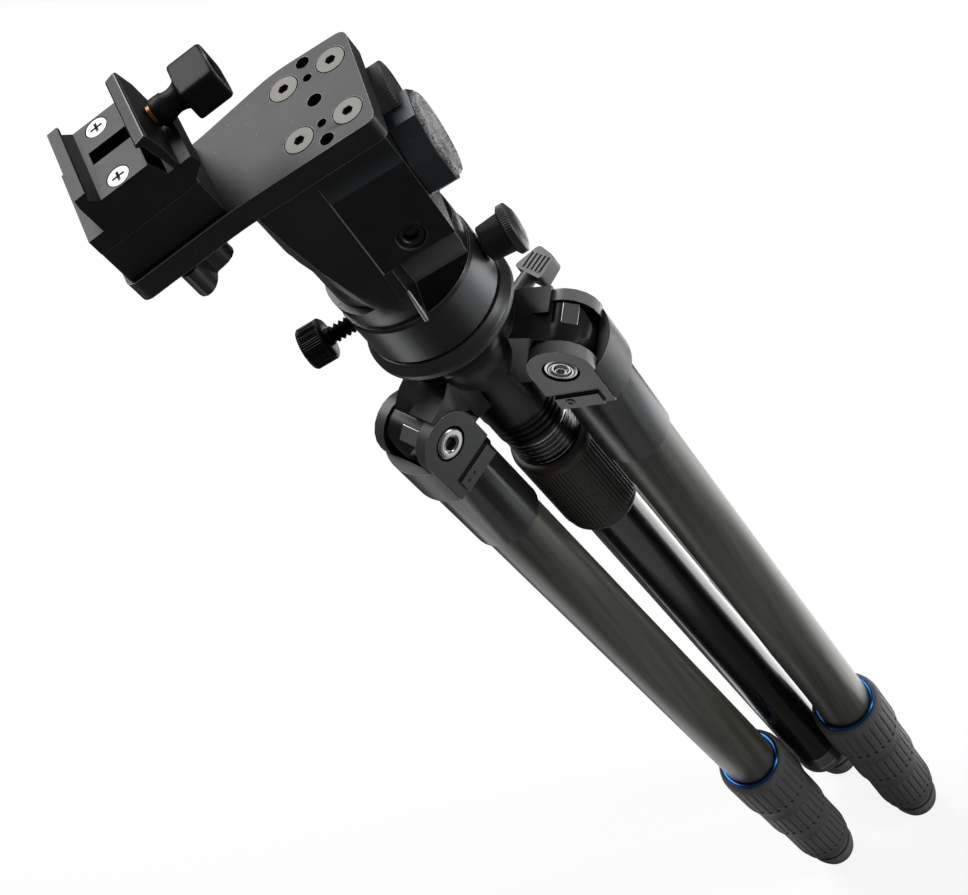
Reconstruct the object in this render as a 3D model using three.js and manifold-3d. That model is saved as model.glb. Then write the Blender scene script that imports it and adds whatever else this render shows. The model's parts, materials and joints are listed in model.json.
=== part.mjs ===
// Folded carbon-fibre tripod with a one-sided tilt head, a side arm and a dovetail clamp.
// Millimetres, +Z up. The origin is on the centre-column axis at the level of the feet.
// X runs along the tilt axis (the arm reaches towards -X), Y completes the right-hand frame.
import * as THREE from 'three';
import { mergeVertices } from 'three/addons/utils/BufferGeometryUtils.js';
import Module from 'manifold-3d';

const wasm = await Module();
wasm.setup();

// ---------------------------------------------------------------- driving dimensions
const GAP = 0.3;                  // working clearance between neighbouring pieces
const SEG = 20;                   // facets on a full turn of a leg's round pieces
const HEAD_SEG = 44;              // facets on a full turn of the head's large round pieces

// legs: four sections that slide into each other, heights from the pivot axis down
const LEG_LENGTH = 578;           // pivot axis to the bottom of the foot
const TUBE_R = [16, 14.2, 12.4, 10.6];
const TUBE_WALL = 1.2;
const TUBE_TOP = [-48, -54, -58, -62];
const TUBE_END = [165, 111, 68, 19].map((height) => height - LEG_LENGTH);
const PIVOT_RADIUS = 43.7;        // column axis to leg pivot
const LEAN = 0.67 * Math.PI / 180;
const LEG_AZIMUTH = [214.8, 334.8, 94.8];
const SLEEVE_R = 17.9;
const SLEEVE_END = -80.6;
const SHOULDER_END = -28;         // the shoulder steps in to the sleeve here
const SHOULDER_IN = 10.9;         // where the shoulder's flats turn in towards the column
const YOKE_OUT = 14.5;            // the yoke's flat outer side
const YOKE_IN = 16.4;             // the yoke's flat inner side
const PAD_TOP = -19.2;            // raised pad at the foot of each of the yoke's flats
const PAD_PROUD = 1.3;
const CHEEK_R = 15.4;
const CHEEK_OUT = 17;
const CHEEK_IN = 10.8;
const SLOT_END = -15.4;           // floor of the slot between the cheeks
const TONGUE_R = 14.2;
const SHELL_R = 18.2;
const HOOD_SIDE = 2.8;            // the arm's hood covers only one side of the tongue
const BOLT_R = 5;
const BOLT_HEAD_R = 6.4;
const RECESS_R = 8.6;
const RECESS_DEPTH = 3.3;
const TAB_TOP = -2.8;
const TAB_RADIUS = 27;            // curve of the angle tab's outer face
const TAB_OUT = 20.5;             // the tab's outermost point
const RING_THICKNESS = 2;
const RING_END = 171 - LEG_LENGTH;
const RING_TOP = RING_END + RING_THICKNESS;
const RING_R = 18.7;
const GRIP_END = [123, 79.5, 33].map((height) => height - LEG_LENGTH);
const GRIP_R = [21.7, 19.9, 18.2];
const FOOT_R = 14.7;

// hub and centre column, heights from the leg pivots
const PIVOT_Z = LEG_LENGTH;
const COLUMN_R = 15.24;
const COLUMN_WALL = 1.8;
const COLUMN_BORE = COLUMN_R + 0.4;
const HUB_TOP = PIVOT_Z + 26.6;
const HOUSING_R = 19;
const HOUSING_END = PIVOT_Z - 36;
const THREAD_R = 17.4;
const THREAD_END = PIVOT_Z - 89.6;
const COLLAR_TOP = PIVOT_Z - 71.6;
const COLLAR_END = PIVOT_Z - 137;
const COLLAR_R = 20.9;
const CAP_END = 96;
const COLUMN_END = CAP_END + 22.5;
const FLANGE_R = 31;
const FLANGE_THICKNESS = 5.5;
const HUB_KNOB_Z = PIVOT_Z + 1.9;
const HUB_KNOB_AZIMUTH = 34.8 * Math.PI / 180;

// head, heights from the platform up
const DISC_Z = HUB_TOP + GAP + FLANGE_THICKNESS + GAP;
const DISC_TOP = DISC_Z + 12;
const DISC_R = 36.2;
const BODY_Z = DISC_TOP + GAP;
const BODY_R = 33;
const TRUNK_R = 32.3;
const SHOULDER_Z = BODY_Z + 25.4;
const KNOB_Z = BODY_Z + 11.9;     // axis of the two knobs on the base
const TILT_Z = BODY_Z + 78.4;
const SWING_R = 37.9;             // sweep of the tilt block's lower corners
const CROWN_R = 34;
const CRADLE_HALF = 12.5;         // half depth of the foot below the tilt block
const RELIEF_DEPTH = 2.6;
const BLOCK_X0 = -0.2;
const BLOCK_X1 = 33.6;
const BLOCK_HALF = 20;            // half depth of the block's upright faces
const BLOCK_FOOT_HALF = 28.4;
const BLOCK_FOLD = 13;            // fold of the block's faces, above the tilt axis
const BLOCK_FOOT = -25;           // the block's underside, below the tilt axis
const SHAFT_R = 6;
const STUD_R = 5;
const PLATE_BOTTOM = TILT_Z + 34.6;
const PLATE_THICKNESS = 10.8;
const PLATE_TOP = PLATE_BOTTOM + PLATE_THICKNESS;
const SIDE_KNOB_X = [34, 46];
const SIDE_KNOB_R = 22;
const LOBE = { y: 14.4, z: 17.8 }; // centre of the grip lobe, from the tilt axis
const LOBE_R = 13;
const THUMB_STEM_R = 4.3;

// arm plate
const PLATE_END = 37.5;
const PLATE_HALF = 29;
const ARM_TURN = 8.5 * Math.PI / 180;
const ARM_HALF = 24.6;
const ARM_END = -25.1;            // end of the arm in the clamp's frame
const ARM_ROOT = 23.5;            // where the arm widens to the head
const RISER = { x: -56.5, y: -10.4 };
const SCREW_CENTRE = 17;
const SCREW_DX = 11;
const SCREW_DY = 16.4;
const SCREW_HEAD_R = 6.5;
const SCREW_R = 3;

// clamp, in its own frame on the riser axis, heights above the plate
const CLAMP_HALF = 22.8;
const RISER_HALF_X = 23.1;
const RISER_H = 18.4;
const FLOOR_H = 38.2;
const SWIVEL_R = 5;
const SWIVEL_X = -3.4;            // the swivel bolt sits behind the middle of the clamp
const CLAMP_SCREW = { y: 2, h: 36.4 };
const CLAMP_SCREW_R = 1.8;
const SILL_H = 29.8;              // where the moving jaw slides, beside the floor
const WASHER_X = [22.7, 24.4];
const FLOOR_SCREW_Y = 17;
const FLOOR_SCREW_X = 1.5;

// ---------------------------------------------------------------- geometry helpers
// A closed geometry as a solid: attributes dropped, shared corners merged, slivers removed.
function solid(geometry) {
  const plain = new THREE.BufferGeometry();
  plain.setAttribute('position', geometry.getAttribute('position').clone());
  if (geometry.index) plain.setIndex(geometry.index.clone());
  const merged = mergeVertices(plain, 1e-4);
  const index = merged.index.array;
  const kept = [];
  for (let i = 0; i < index.length; i += 3) {
    const [a, b, c] = [index[i], index[i + 1], index[i + 2]];
    if (a !== b && b !== c && c !== a) kept.push(a, b, c);
  }
  const mesh = new wasm.Mesh({
    numProp: 3,
    vertProperties: new Float32Array(merged.getAttribute('position').array),
    triVerts: new Uint32Array(kept),
  });
  return new wasm.Manifold(mesh);
}

// A solid back as a flat-shaded three.js geometry.
function surface(shape) {
  const mesh = shape.getMesh();
  const geometry = new THREE.BufferGeometry();
  const n = mesh.numProp;
  const points = new Float32Array(mesh.vertProperties.length / n * 3);
  for (let i = 0; i < points.length / 3; i++) {
    for (let k = 0; k < 3; k++) points[3 * i + k] = mesh.vertProperties[n * i + k];
  }
  geometry.setAttribute('position', new THREE.BufferAttribute(points, 3));
  geometry.setIndex(new THREE.BufferAttribute(new Uint32Array(mesh.triVerts), 1));
  geometry.computeVertexNormals();
  return geometry;
}

const join = (...list) => surface(list.map(solid).reduce((a, b) => a.add(b)));
const cut = (base, ...tools) => surface(tools.map(solid).reduce((a, b) => a.subtract(b), solid(base)));
const common = (a, b) => surface(solid(a).intersect(solid(b)));

// Turned piece about Z from [radius, height] pairs, outer side upwards.
function turned(profile, segments = SEG) {
  const closed = profile[0][0] === 0 ? profile : [...profile, profile[0]];
  const points = closed.map(([r, z]) => new THREE.Vector2(r, z));
  return new THREE.LatheGeometry(points, segments).rotateX(Math.PI / 2);
}

// A tube about Z between two heights.
const tube = (outer, inner, z0, z1, segments = SEG) =>
  turned([[inner, z0], [outer, z0], [outer, z1], [inner, z1]], segments);

// A rod about Z between two heights.
const rod = (r, z0, z1, segments = SEG) => turned([[0, z0], [r, z0], [r, z1], [0, z1]], segments);

// Extrusion of an outline in X and Y between two heights.
function prism(outline, z0, z1, holes = []) {
  const shape = outline instanceof THREE.Shape ? outline
    : new THREE.Shape(outline.map(([x, y]) => new THREE.Vector2(x, y)));
  shape.holes.push(...holes);
  const options = { depth: z1 - z0, bevelEnabled: false, curveSegments: 6 };
  return new THREE.ExtrudeGeometry(shape, options).translate(0, 0, z0);
}

// Turns a piece made about Z so that its own Z lies along X, and its X along Y, its Y along Z.
const alongX = (geometry) => geometry.applyMatrix4(new THREE.Matrix4().makeBasis(
  new THREE.Vector3(0, 1, 0), new THREE.Vector3(0, 0, 1), new THREE.Vector3(1, 0, 0)));

// Outline in X and Z swept along Y from y0 to y1.
const slab = (outline, y0, y1) =>
  prism(outline, -y1, -y0).rotateX(Math.PI / 2);

const box = (x0, x1, y0, y1, z0, z1) =>
  new THREE.BoxGeometry(x1 - x0, y1 - y0, z1 - z0).translate((x0 + x1) / 2, (y0 + y1) / 2, (z0 + z1) / 2);

// A regular polygon across its corners, as an outline.
const polygon = (sides, r, turn = 0) => Array.from({ length: sides }, (_, i) => {
  const a = turn + i * 2 * Math.PI / sides;
  return [r * Math.cos(a), r * Math.sin(a)];
});

// An outline with its corners rounded to the given radii.
function rounded(corners, radii) {
  const shape = new THREE.Shape();
  corners.forEach(([x, y], i) => {
    const before = corners[(i + corners.length - 1) % corners.length];
    const after = corners[(i + 1) % corners.length];
    const r = Array.isArray(radii) ? radii[i] : radii;
    const towards = ([px, py]) => {
      const length = Math.hypot(px - x, py - y);
      return [x + (px - x) * r / length, y + (py - y) * r / length];
    };
    const [ax, ay] = towards(before);
    const [bx, by] = towards(after);
    if (i === 0) shape.moveTo(ax, ay);
    else shape.lineTo(ax, ay);
    shape.quadraticCurveTo(x, y, bx, by);
  });
  shape.closePath();
  return shape;
}

// A symmetrical outline from the half of it on one side of the mirror line, which is where
// the first number (or the second, if asked) is zero.
const mirrored = (half, second = false) =>
  [...half, ...half.map(([a, b]) => second ? [a, -b] : [-a, b]).reverse()];

// ---------------------------------------------------------------- materials and nodes
const object = new THREE.Group();
const finish = (color, roughness, metalness) => () =>
  new THREE.MeshStandardMaterial({ color, roughness, metalness });
const ANODISED = finish(0x18191b, 0.45, 0.6);
const CAST = finish(0x1b1c1e, 0.55, 0.5);
const CARBON = finish(0x3a3733, 0.4, 0.1);
const GLOSS_TUBE = finish(0x0c0c0d, 0.2, 0.4);
const RUBBER = finish(0x4a4c4c, 0.85, 0);
const BLUE = finish(0x1c4f8c, 0.3, 0.9);
const STEEL = finish(0xa9aaac, 0.3, 1);
const ZINC = finish(0xcfcabc, 0.4, 0.9);
const DARK_STEEL = finish(0x6a6660, 0.4, 0.9);
const BRASS = finish(0xa06a3a, 0.35, 1);
const GRIP_BROWN = finish(0x2b2623, 0.6, 0.1);

function add(parent, name, geometry, material) {
  const mesh = new THREE.Mesh(geometry, material());
  mesh.name = name;
  parent.add(mesh);
}

// ---------------------------------------------------------------- one leg, pivot at the origin
// Local X points away from the column, local Y along the pivot, the leg hangs down -Z.
function yoke() {
  const sleeve = turned([[0, SLEEVE_END], [SLEEVE_R - 0.8, SLEEVE_END], [SLEEVE_R, SLEEVE_END + 1],
    [SLEEVE_R, SHOULDER_END], [SHOULDER_IN, SHOULDER_END], [SHOULDER_IN, SHOULDER_END + 1],
    [0, SHOULDER_END + 1]], 32);
  const across = mirrored([[YOKE_OUT, CHEEK_OUT], [-SHOULDER_IN, CHEEK_OUT], [-YOKE_IN, SHOULDER_IN]], true);
  const shoulder = prism(across, SHOULDER_END, SLOT_END);
  const pads = box(-SHOULDER_IN - 1, YOKE_OUT - 5, -CHEEK_OUT - PAD_PROUD, CHEEK_OUT + PAD_PROUD,
    SHOULDER_END + 0.4, PAD_TOP);
  const cheek = (y0, y1) => cut(
    join(slab(polygon(SEG, CHEEK_R), y0, y1), box(-CHEEK_R, CHEEK_R, y0, y1, SLOT_END - 2, 0)),
    box(YOKE_OUT, CHEEK_R + 1, y0 - 1, y1 + 1, SLOT_END - 3, TAB_TOP + GAP));
  const whole = join(sleeve, shoulder, pads, cheek(-CHEEK_OUT, -CHEEK_IN), cheek(CHEEK_IN, CHEEK_OUT));
  const recess = slab(polygon(20, RECESS_R), CHEEK_OUT - RECESS_DEPTH, CHEEK_OUT + 5);
  return cut(whole,
    rod(TUBE_R[0] + GAP, SLEEVE_END - 5, TUBE_TOP[0] + GAP),
    slab(polygon(16, BOLT_R + GAP), -2 * CHEEK_OUT, 2 * CHEEK_OUT),
    recess,
    recess.clone().scale(-1, -1, 1));
}

function pivotBolt() {
  const floor = CHEEK_OUT - RECESS_DEPTH + GAP;
  const bolt = join(
    slab(polygon(16, BOLT_R), -floor - 1, floor + 1),
    slab(polygon(20, BOLT_HEAD_R), floor, CHEEK_OUT + 0.6),
    slab(polygon(6, BOLT_HEAD_R + 1), 0.2 - CHEEK_OUT, -floor));
  return cut(bolt, slab(polygon(6, 3.2), CHEEK_OUT - 2.6, CHEEK_OUT + 5));
}

// Sliding stop on the outer side of the shoulder, which sets how far the leg opens.
function angleTab() {
  const low = SHOULDER_END + GAP;
  const curve = rod(TAB_RADIUS, low, TAB_TOP, 96).translate(TAB_OUT - TAB_RADIUS, 0, 0);
  return common(curve, box(YOKE_OUT + GAP, TAB_OUT + 1, -CHEEK_OUT, CHEEK_OUT, low - 1, TAB_TOP + 1));
}

// Thin ring that caps the first grip around the end of the top section.
const ring = () => turned([
  [TUBE_R[0] + GAP, RING_END], [RING_R, RING_END], [RING_R, RING_END + 1.2], [RING_R - 0.8, RING_TOP],
  [TUBE_R[0] + GAP, RING_TOP]], 32);

// Twist grip i: it houses the end of section i and runs on section i + 1.
function grip(i) {
  const top = (i === 0 ? RING_END : GRIP_END[i - 1]) - GAP;
  const end = GRIP_END[i];
  const big = TUBE_R[i] + GAP;
  const small = TUBE_R[i + 1] + GAP;
  const step = TUBE_END[i] - GAP;
  const r = GRIP_R[i];
  return turned([
    [small, end], [r - 2.2, end], [r - 0.9, end + 3], [r, end + 12],
    [r, top - 7], [r - 0.9, top - 2], [RING_R + 0.5 - GRIP_R[0] + r, top], [big, top], [big, step],
    [small, step]]);
}

function foot() {
  const top = GRIP_END[2] - 3.2;
  const bore = TUBE_R[3] + GAP;
  const step = TUBE_END[3] - GAP;
  return turned([
    [0, -LEG_LENGTH], [5.2, 0.6 - LEG_LENGTH], [9.8, 4.5 - LEG_LENGTH], [12.9, 10 - LEG_LENGTH],
    [FOOT_R, 19 - LEG_LENGTH], [FOOT_R, top - 2], [FOOT_R - 1.6, top], [bore, top], [bore, step],
    [0, step]], 20);
}

function leg(tag, azimuth) {
  const group = new THREE.Group();
  const a = azimuth * Math.PI / 180;
  group.position.set(PIVOT_RADIUS * Math.cos(a), PIVOT_RADIUS * Math.sin(a), PIVOT_Z);
  group.rotation.set(0, LEAN, a, 'ZYX');
  add(group, `leg_${tag}_yoke`, yoke(), CAST);
  add(group, `leg_${tag}_pivot_bolt`, pivotBolt(), STEEL);
  add(group, `leg_${tag}_angle_tab`, angleTab(), CAST);
  TUBE_R.forEach((r, i) => {
    const section = tube(r, r - TUBE_WALL, TUBE_END[i], TUBE_TOP[i], SEG);
    add(group, `leg_${tag}_section_${i + 1}`, section, CARBON);
  });
  add(group, `leg_${tag}_blue_ring`, ring(), BLUE);
  GRIP_END.forEach((_, i) => add(group, `leg_${tag}_twist_grip_${i + 1}`, grip(i), RUBBER));
  add(group, `leg_${tag}_foot`, foot(), RUBBER);
  object.add(group);
}

['a', 'b', 'c'].forEach((tag, i) => leg(tag, LEG_AZIMUTH[i]));

// ---------------------------------------------------------------- hub and centre column
// One arm of the hub, its pivot at the origin, X away from the column.
function spiderArm() {
  const reach = HOUSING_R - 3 - PIVOT_RADIUS;
  const half = CHEEK_IN - 0.4;
  const root = [[reach, -13], [0, -13], [0, TONGUE_R - 0.1], [-8, SHELL_R + 1], [-20, 22.4], [reach, 22.4]];
  const tongue = join(
    slab(polygon(SEG, TONGUE_R), -half, half),
    slab(root, -half, half));
  const hood = [[reach, -13], [-CHEEK_R - 3, -8], [-CHEEK_R - 3, 0], [0, CHEEK_R], [0, SHELL_R],
    [-8, SHELL_R + 1], [-20, 22.4], [reach, 22.4]];
  const shell = cut(slab(hood, HOOD_SIDE, CHEEK_OUT),
    slab(polygon(SEG, CHEEK_R + 0.6), -2 * CHEEK_OUT, 2 * CHEEK_OUT),
    box(-YOKE_IN - 1, 30, -30, 30, -40, -2));
  // the arm draws in towards the hub
  const waist = prism(mirrored([[reach, 13], [-20, 14.5], [-12, CHEEK_OUT], [1, CHEEK_OUT]], true), -20, 30);
  return common(join(tongue, shell), join(waist, rod(TONGUE_R, -20, 30)));
}

function spider() {
  const hub = turned([[COLUMN_BORE, THREAD_END], [THREAD_R, THREAD_END], [THREAD_R, HOUSING_END],
    [HOUSING_R, HOUSING_END + 2], [HOUSING_R, PIVOT_Z - 4], [27, PIVOT_Z + 12], [29, HUB_TOP - 6],
    [29, HUB_TOP], [COLUMN_BORE, HUB_TOP]], 32);
  const placed = (geometry, azimuth) =>
    geometry.translate(PIVOT_RADIUS, 0, PIVOT_Z).rotateZ(azimuth * Math.PI / 180);
  const arms = LEG_AZIMUTH.map((azimuth) => placed(spiderArm(), azimuth));
  const boltHoles = LEG_AZIMUTH.map((azimuth) =>
    placed(slab(polygon(16, BOLT_R + GAP), -2 * CHEEK_OUT, 2 * CHEEK_OUT), azimuth));
  const socket = alongX(rod(THUMB_STEM_R + GAP, HOUSING_R - 2.2, 60, 16))
    .rotateZ(HUB_KNOB_AZIMUTH).translate(0, 0, HUB_KNOB_Z);
  return cut(join(hub, ...arms), rod(COLUMN_BORE, THREAD_END - 50, HUB_TOP + 50, 32), socket, ...boltHoles);
}
add(object, 'hub_spider', spider(), CAST);

add(object, 'column_collar', turned([
  [COLUMN_BORE, COLLAR_END], [COLLAR_R - 2.6, COLLAR_END], [COLLAR_R - 0.9, COLLAR_END + 3],
  [COLLAR_R, COLLAR_TOP - 3], [COLLAR_R - 1.4, COLLAR_TOP], [THREAD_R + GAP, COLLAR_TOP],
  [THREAD_R + GAP, THREAD_END - GAP], [COLUMN_BORE, THREAD_END - GAP]], 32), GRIP_BROWN);

// The column tube carries the head's platform on its flange.
const platformTop = DISC_Z - GAP;
add(object, 'centre_column', turned([
  [COLUMN_R - COLUMN_WALL, COLUMN_END], [COLUMN_R, COLUMN_END], [COLUMN_R, platformTop - FLANGE_THICKNESS],
  [FLANGE_R, platformTop - FLANGE_THICKNESS], [FLANGE_R, platformTop],
  [COLUMN_R - COLUMN_WALL, platformTop]], 32), GLOSS_TUBE);

const capRim = COLUMN_R - COLUMN_WALL - GAP;
add(object, 'column_end_cap', turned([
  [0, CAP_END], [COLUMN_R - 2.6, CAP_END], [COLUMN_R - 0.5, CAP_END + 2], [COLUMN_R, CAP_END + 5],
  [COLUMN_R, COLUMN_END - GAP], [capRim, COLUMN_END - GAP], [capRim, COLUMN_END + 12],
  [0, COLUMN_END + 12]], SEG), STEEL);

// Flat wing on a stem, with grooves along both of its faces.
function hubKnob() {
  const half = 4.3;
  const stem = alongX(rod(THUMB_STEM_R, HOUSING_R - 1.8, 46, 16));
  const wing = prism(rounded([[42.3, -10.2], [44.2, 8], [58.2, 2.4], [55.5, -9]], 2.4), -half, half);
  const grooves = [-7.6, -5, -2.4, 0.2, 2.8].flatMap((y) => [
    box(45.2, 54, y - 0.6, y + 0.6, half - 0.6, half + 1),
    box(45.2, 54, y - 0.6, y + 0.6, -half - 1, 0.6 - half)]);
  return cut(join(stem, wing), ...grooves).rotateZ(HUB_KNOB_AZIMUTH).translate(0, 0, HUB_KNOB_Z);
}
add(object, 'hub_lock_knob', hubKnob(), CAST);

// ---------------------------------------------------------------- head
add(object, 'head_base_disc', turned([
  [0, DISC_Z], [DISC_R - 3.2, DISC_Z], [DISC_R, DISC_Z + 3.5], [DISC_R, DISC_Z + 7],
  [DISC_R - 2.5, DISC_TOP], [0, DISC_TOP]], HEAD_SEG), ANODISED);

// Base cylinder, upright cheek at the left and the cradle that the tilt block swings in.
function panBody() {
  const low = SHOULDER_Z - 1;
  const base = turned([[0, BODY_Z], [BODY_R - 0.8, BODY_Z], [BODY_R, BODY_Z + 1], [BODY_R, SHOULDER_Z - 2],
    [TRUNK_R, SHOULDER_Z], [0, SHOULDER_Z]], HEAD_SEG);
  const trunk = turned([[0, low], [TRUNK_R - 0.9, low], [TRUNK_R - 0.9, SHOULDER_Z + 2],
    [TRUNK_R, SHOULDER_Z + 7.5], [TRUNK_R, PLATE_BOTTOM], [0, PLATE_BOTTOM]], HEAD_SEG);
  // the cheek's near and far flanks lean in towards its round crown
  const flanks = alongX(prism(mirrored([[TRUNK_R, low], [TRUNK_R, SHOULDER_Z + 8.7], [14.6, PLATE_BOTTOM]]),
    -BODY_R - 5, BLOCK_X0 - 0.5));
  const crown = join(
    alongX(rod(CROWN_R, -BODY_R - 5, BODY_R, 64)).translate(0, 0, TILT_Z),
    box(-BODY_R - 5, BODY_R, -BODY_R - 5, BODY_R + 5, low, TILT_Z));
  const cheek = common(common(trunk, flanks), crown);
  const foot = box(BLOCK_X0 - 1, BODY_R + 5, -CRADLE_HALF, CRADLE_HALF, low, TILT_Z - 22);
  const web = alongX(prism(mirrored([[TRUNK_R + 1, low], [TRUNK_R + 1, TILT_Z - 42], [28.3, TILT_Z - 24]]),
    BLOCK_X0 - 1, 3.2));
  const cradle = common(trunk, join(foot, web));
  // shallow arched relief on the cheek's outer side
  const arch = mirrored([[26, SHOULDER_Z + 11.5], [29.6, SHOULDER_Z + 14.5], [22.2, SHOULDER_Z + 41],
    [15, SHOULDER_Z + 50]]);
  const relief = common(tube(BODY_R + 5, TRUNK_R - RELIEF_DEPTH, SHOULDER_Z + 8, TILT_Z, HEAD_SEG),
    alongX(prism(arch, -BODY_R - 5, -4)));
  const swing = alongX(rod(SWING_R + 0.5, BLOCK_X0 - 0.5, BODY_R + 10, 64)).translate(0, 0, TILT_Z);
  const screwHole = alongX(rod(THUMB_STEM_R + GAP, BODY_R - 6, BODY_R + 10, 16)).translate(0, 0, KNOB_Z);
  const shaft = alongX(rod(SHAFT_R + GAP, -14, BLOCK_X0, 20)).translate(0, 0, TILT_Z);
  const lockHole = screwHole.clone().rotateZ(Math.PI);
  return cut(join(base, cheek, cradle), relief, swing, screwHole, lockHole, shaft);
}
add(object, 'pan_body', panBody(), ANODISED);

// The tilt block turns on its shaft, which runs in the cheek, and carries the arm plate.
function tiltBlock() {
  const outline = mirrored([[BLOCK_FOOT_HALF, TILT_Z + BLOCK_FOOT], [BLOCK_HALF, TILT_Z + BLOCK_FOLD],
    [BLOCK_HALF, PLATE_BOTTOM - GAP]]);
  const body = alongX(prism(outline, BLOCK_X0, BLOCK_X1));
  const shaft = alongX(rod(SHAFT_R, -12, 1, 20)).translate(0, 0, TILT_Z);
  const stud = alongX(rod(STUD_R, BLOCK_X1 - 1, SIDE_KNOB_X[0] + 6, 20)).translate(0, 0, TILT_Z);
  const threads = screwPlaces().map(([x, y]) =>
    rod(SCREW_R + GAP, PLATE_BOTTOM - 16, PLATE_TOP, 16).translate(x, y, 0));
  const counterbore = rod(6.4, -9, 8, 20).rotateX(Math.PI / 2 - 0.22).translate(18, -27, TILT_Z - 16.8);
  return cut(join(body, shaft, stud), ...threads, counterbore);
}

function screwPlaces() {
  return [-1, 1].flatMap((i) => [-1, 1].map((j) => [SCREW_CENTRE + i * SCREW_DX, j * SCREW_DY]));
}
add(object, 'tilt_block', tiltBlock(), ANODISED);

// Eight-sided knob on the block's stud, with a grip lobe and a finger scallop.
function sideKnob() {
  const [x0, x1] = SIDE_KNOB_X;
  const body = prism(polygon(8, SIDE_KNOB_R, Math.PI / 8), x0, x1);
  const lobe = rod(LOBE_R, x0, x1 - 4, 32).translate(LOBE.y, LOBE.z, 0);
  const face = rod(SIDE_KNOB_R - 3.6, x1 - 1, x1 + 1.2, 40);
  const scallop = rod(15, x0 - 5, x1 + 9, 32).translate(-17.5, -29, 0);
  const bore = rod(STUD_R + GAP, x0 - 1, x0 + 6 + GAP, 20);
  return alongX(cut(join(body, lobe, face), scallop, bore)).translate(0, 0, TILT_Z);
}
add(object, 'side_knob', sideKnob(), CAST);

add(object, 'mushroom_knob', alongX(turned([
  [0, BODY_R - 5], [THUMB_STEM_R, BODY_R - 5], [THUMB_STEM_R, BODY_R + 0.8], [8.4, BODY_R + 0.8], [9.3, 44.5],
  [11.8, 46], [11.8, 49.2], [8, 51], [0, 51.6]], 24)).translate(0, 0, KNOB_Z), ANODISED);

add(object, 'pan_lock_knob', alongX(turned([
  [0, BODY_R - 5], [THUMB_STEM_R, BODY_R - 5], [THUMB_STEM_R, 46.2], [9.2, 46.2], [10, 47.2], [10, 57],
  [9.2, 58], [0, 58]], 24)).rotateZ(Math.PI).translate(0, 0, KNOB_Z), ANODISED);

// ---------------------------------------------------------------- arm plate and its screws
// Flat arm: square at the head, drawn in towards its end, which is turned with the clamp.
function armPlate() {
  const onArm = (x, y) => {
    const point = new THREE.Vector2(x, y).rotateAround(new THREE.Vector2(), ARM_TURN);
    return [RISER.x + point.x, RISER.y + point.y];
  };
  const outline = rounded([
    [PLATE_END, -PLATE_HALF], [PLATE_END, PLATE_HALF], [3, PLATE_HALF], onArm(ARM_ROOT, ARM_HALF),
    onArm(ARM_END, ARM_HALF), onArm(ARM_END, -ARM_HALF), onArm(ARM_ROOT, -ARM_HALF)], [5, 5, 8, 8, 5, 5, 8]);
  const plate = prism(outline, PLATE_BOTTOM, PLATE_TOP);
  const seats = screwPlaces().map(([x, y]) => turned([
    [0, PLATE_BOTTOM - 1], [SCREW_R + GAP, PLATE_BOTTOM - 1], [SCREW_R + GAP, PLATE_TOP - 4.2],
    [SCREW_HEAD_R + GAP, PLATE_TOP - 0.9], [SCREW_HEAD_R + GAP, PLATE_TOP + 1], [0, PLATE_TOP + 1]],
  20).translate(x, y, 0));
  const row = [[0, 3.3], [24.4, 3.1], [-24.4, 3.1], [14.5, 2.1], [-14.5, 2.1]].map(([y, r]) =>
    rod(r, PLATE_TOP - 6, PLATE_TOP + 1, 12).translate(SCREW_CENTRE - 0.3, y, 0));
  const pivot = rod(SWIVEL_R + GAP, PLATE_BOTTOM - 1, PLATE_TOP + 1, 20).translate(...onArm(SWIVEL_X, 0), 0);
  return cut(plate, ...seats, ...row, pivot);
}
add(object, 'arm_plate', armPlate(), ANODISED);

function plateScrew() {
  const screw = turned([[0, PLATE_BOTTOM - 14], [SCREW_R, PLATE_BOTTOM - 14], [SCREW_R, PLATE_TOP - 4],
    [SCREW_HEAD_R, PLATE_TOP - 0.6], [SCREW_HEAD_R, PLATE_TOP + 0.1], [0, PLATE_TOP + 0.1]], 20);
  return cut(screw, prism(polygon(6, 2.3), PLATE_TOP - 2.4, PLATE_TOP + 1));
}
screwPlaces().forEach(([x, y], i) =>
  add(object, `plate_screw_${i + 1}`, plateScrew().translate(x, y, 0), DARK_STEEL));

// ---------------------------------------------------------------- clamp on its riser
// Made in the clamp's frame: X along the clamp screw, Z from the plate's top.
const clamp = new THREE.Group();
clamp.position.set(RISER.x, RISER.y, PLATE_TOP);
clamp.rotation.z = ARM_TURN;
object.add(clamp);
const onScrewAxis = (geometry) => alongX(geometry).translate(0, CLAMP_SCREW.y, CLAMP_SCREW.h);

// Riser block with the bolt that it swivels on, down through the arm.
add(clamp, 'riser_block', join(
  box(-RISER_HALF_X, RISER_HALF_X, -CLAMP_HALF, CLAMP_HALF, GAP, RISER_H),
  rod(SWIVEL_R, -PLATE_THICKNESS - 12, 1, 20).translate(SWIVEL_X, 0, 0)), ANODISED);

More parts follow.
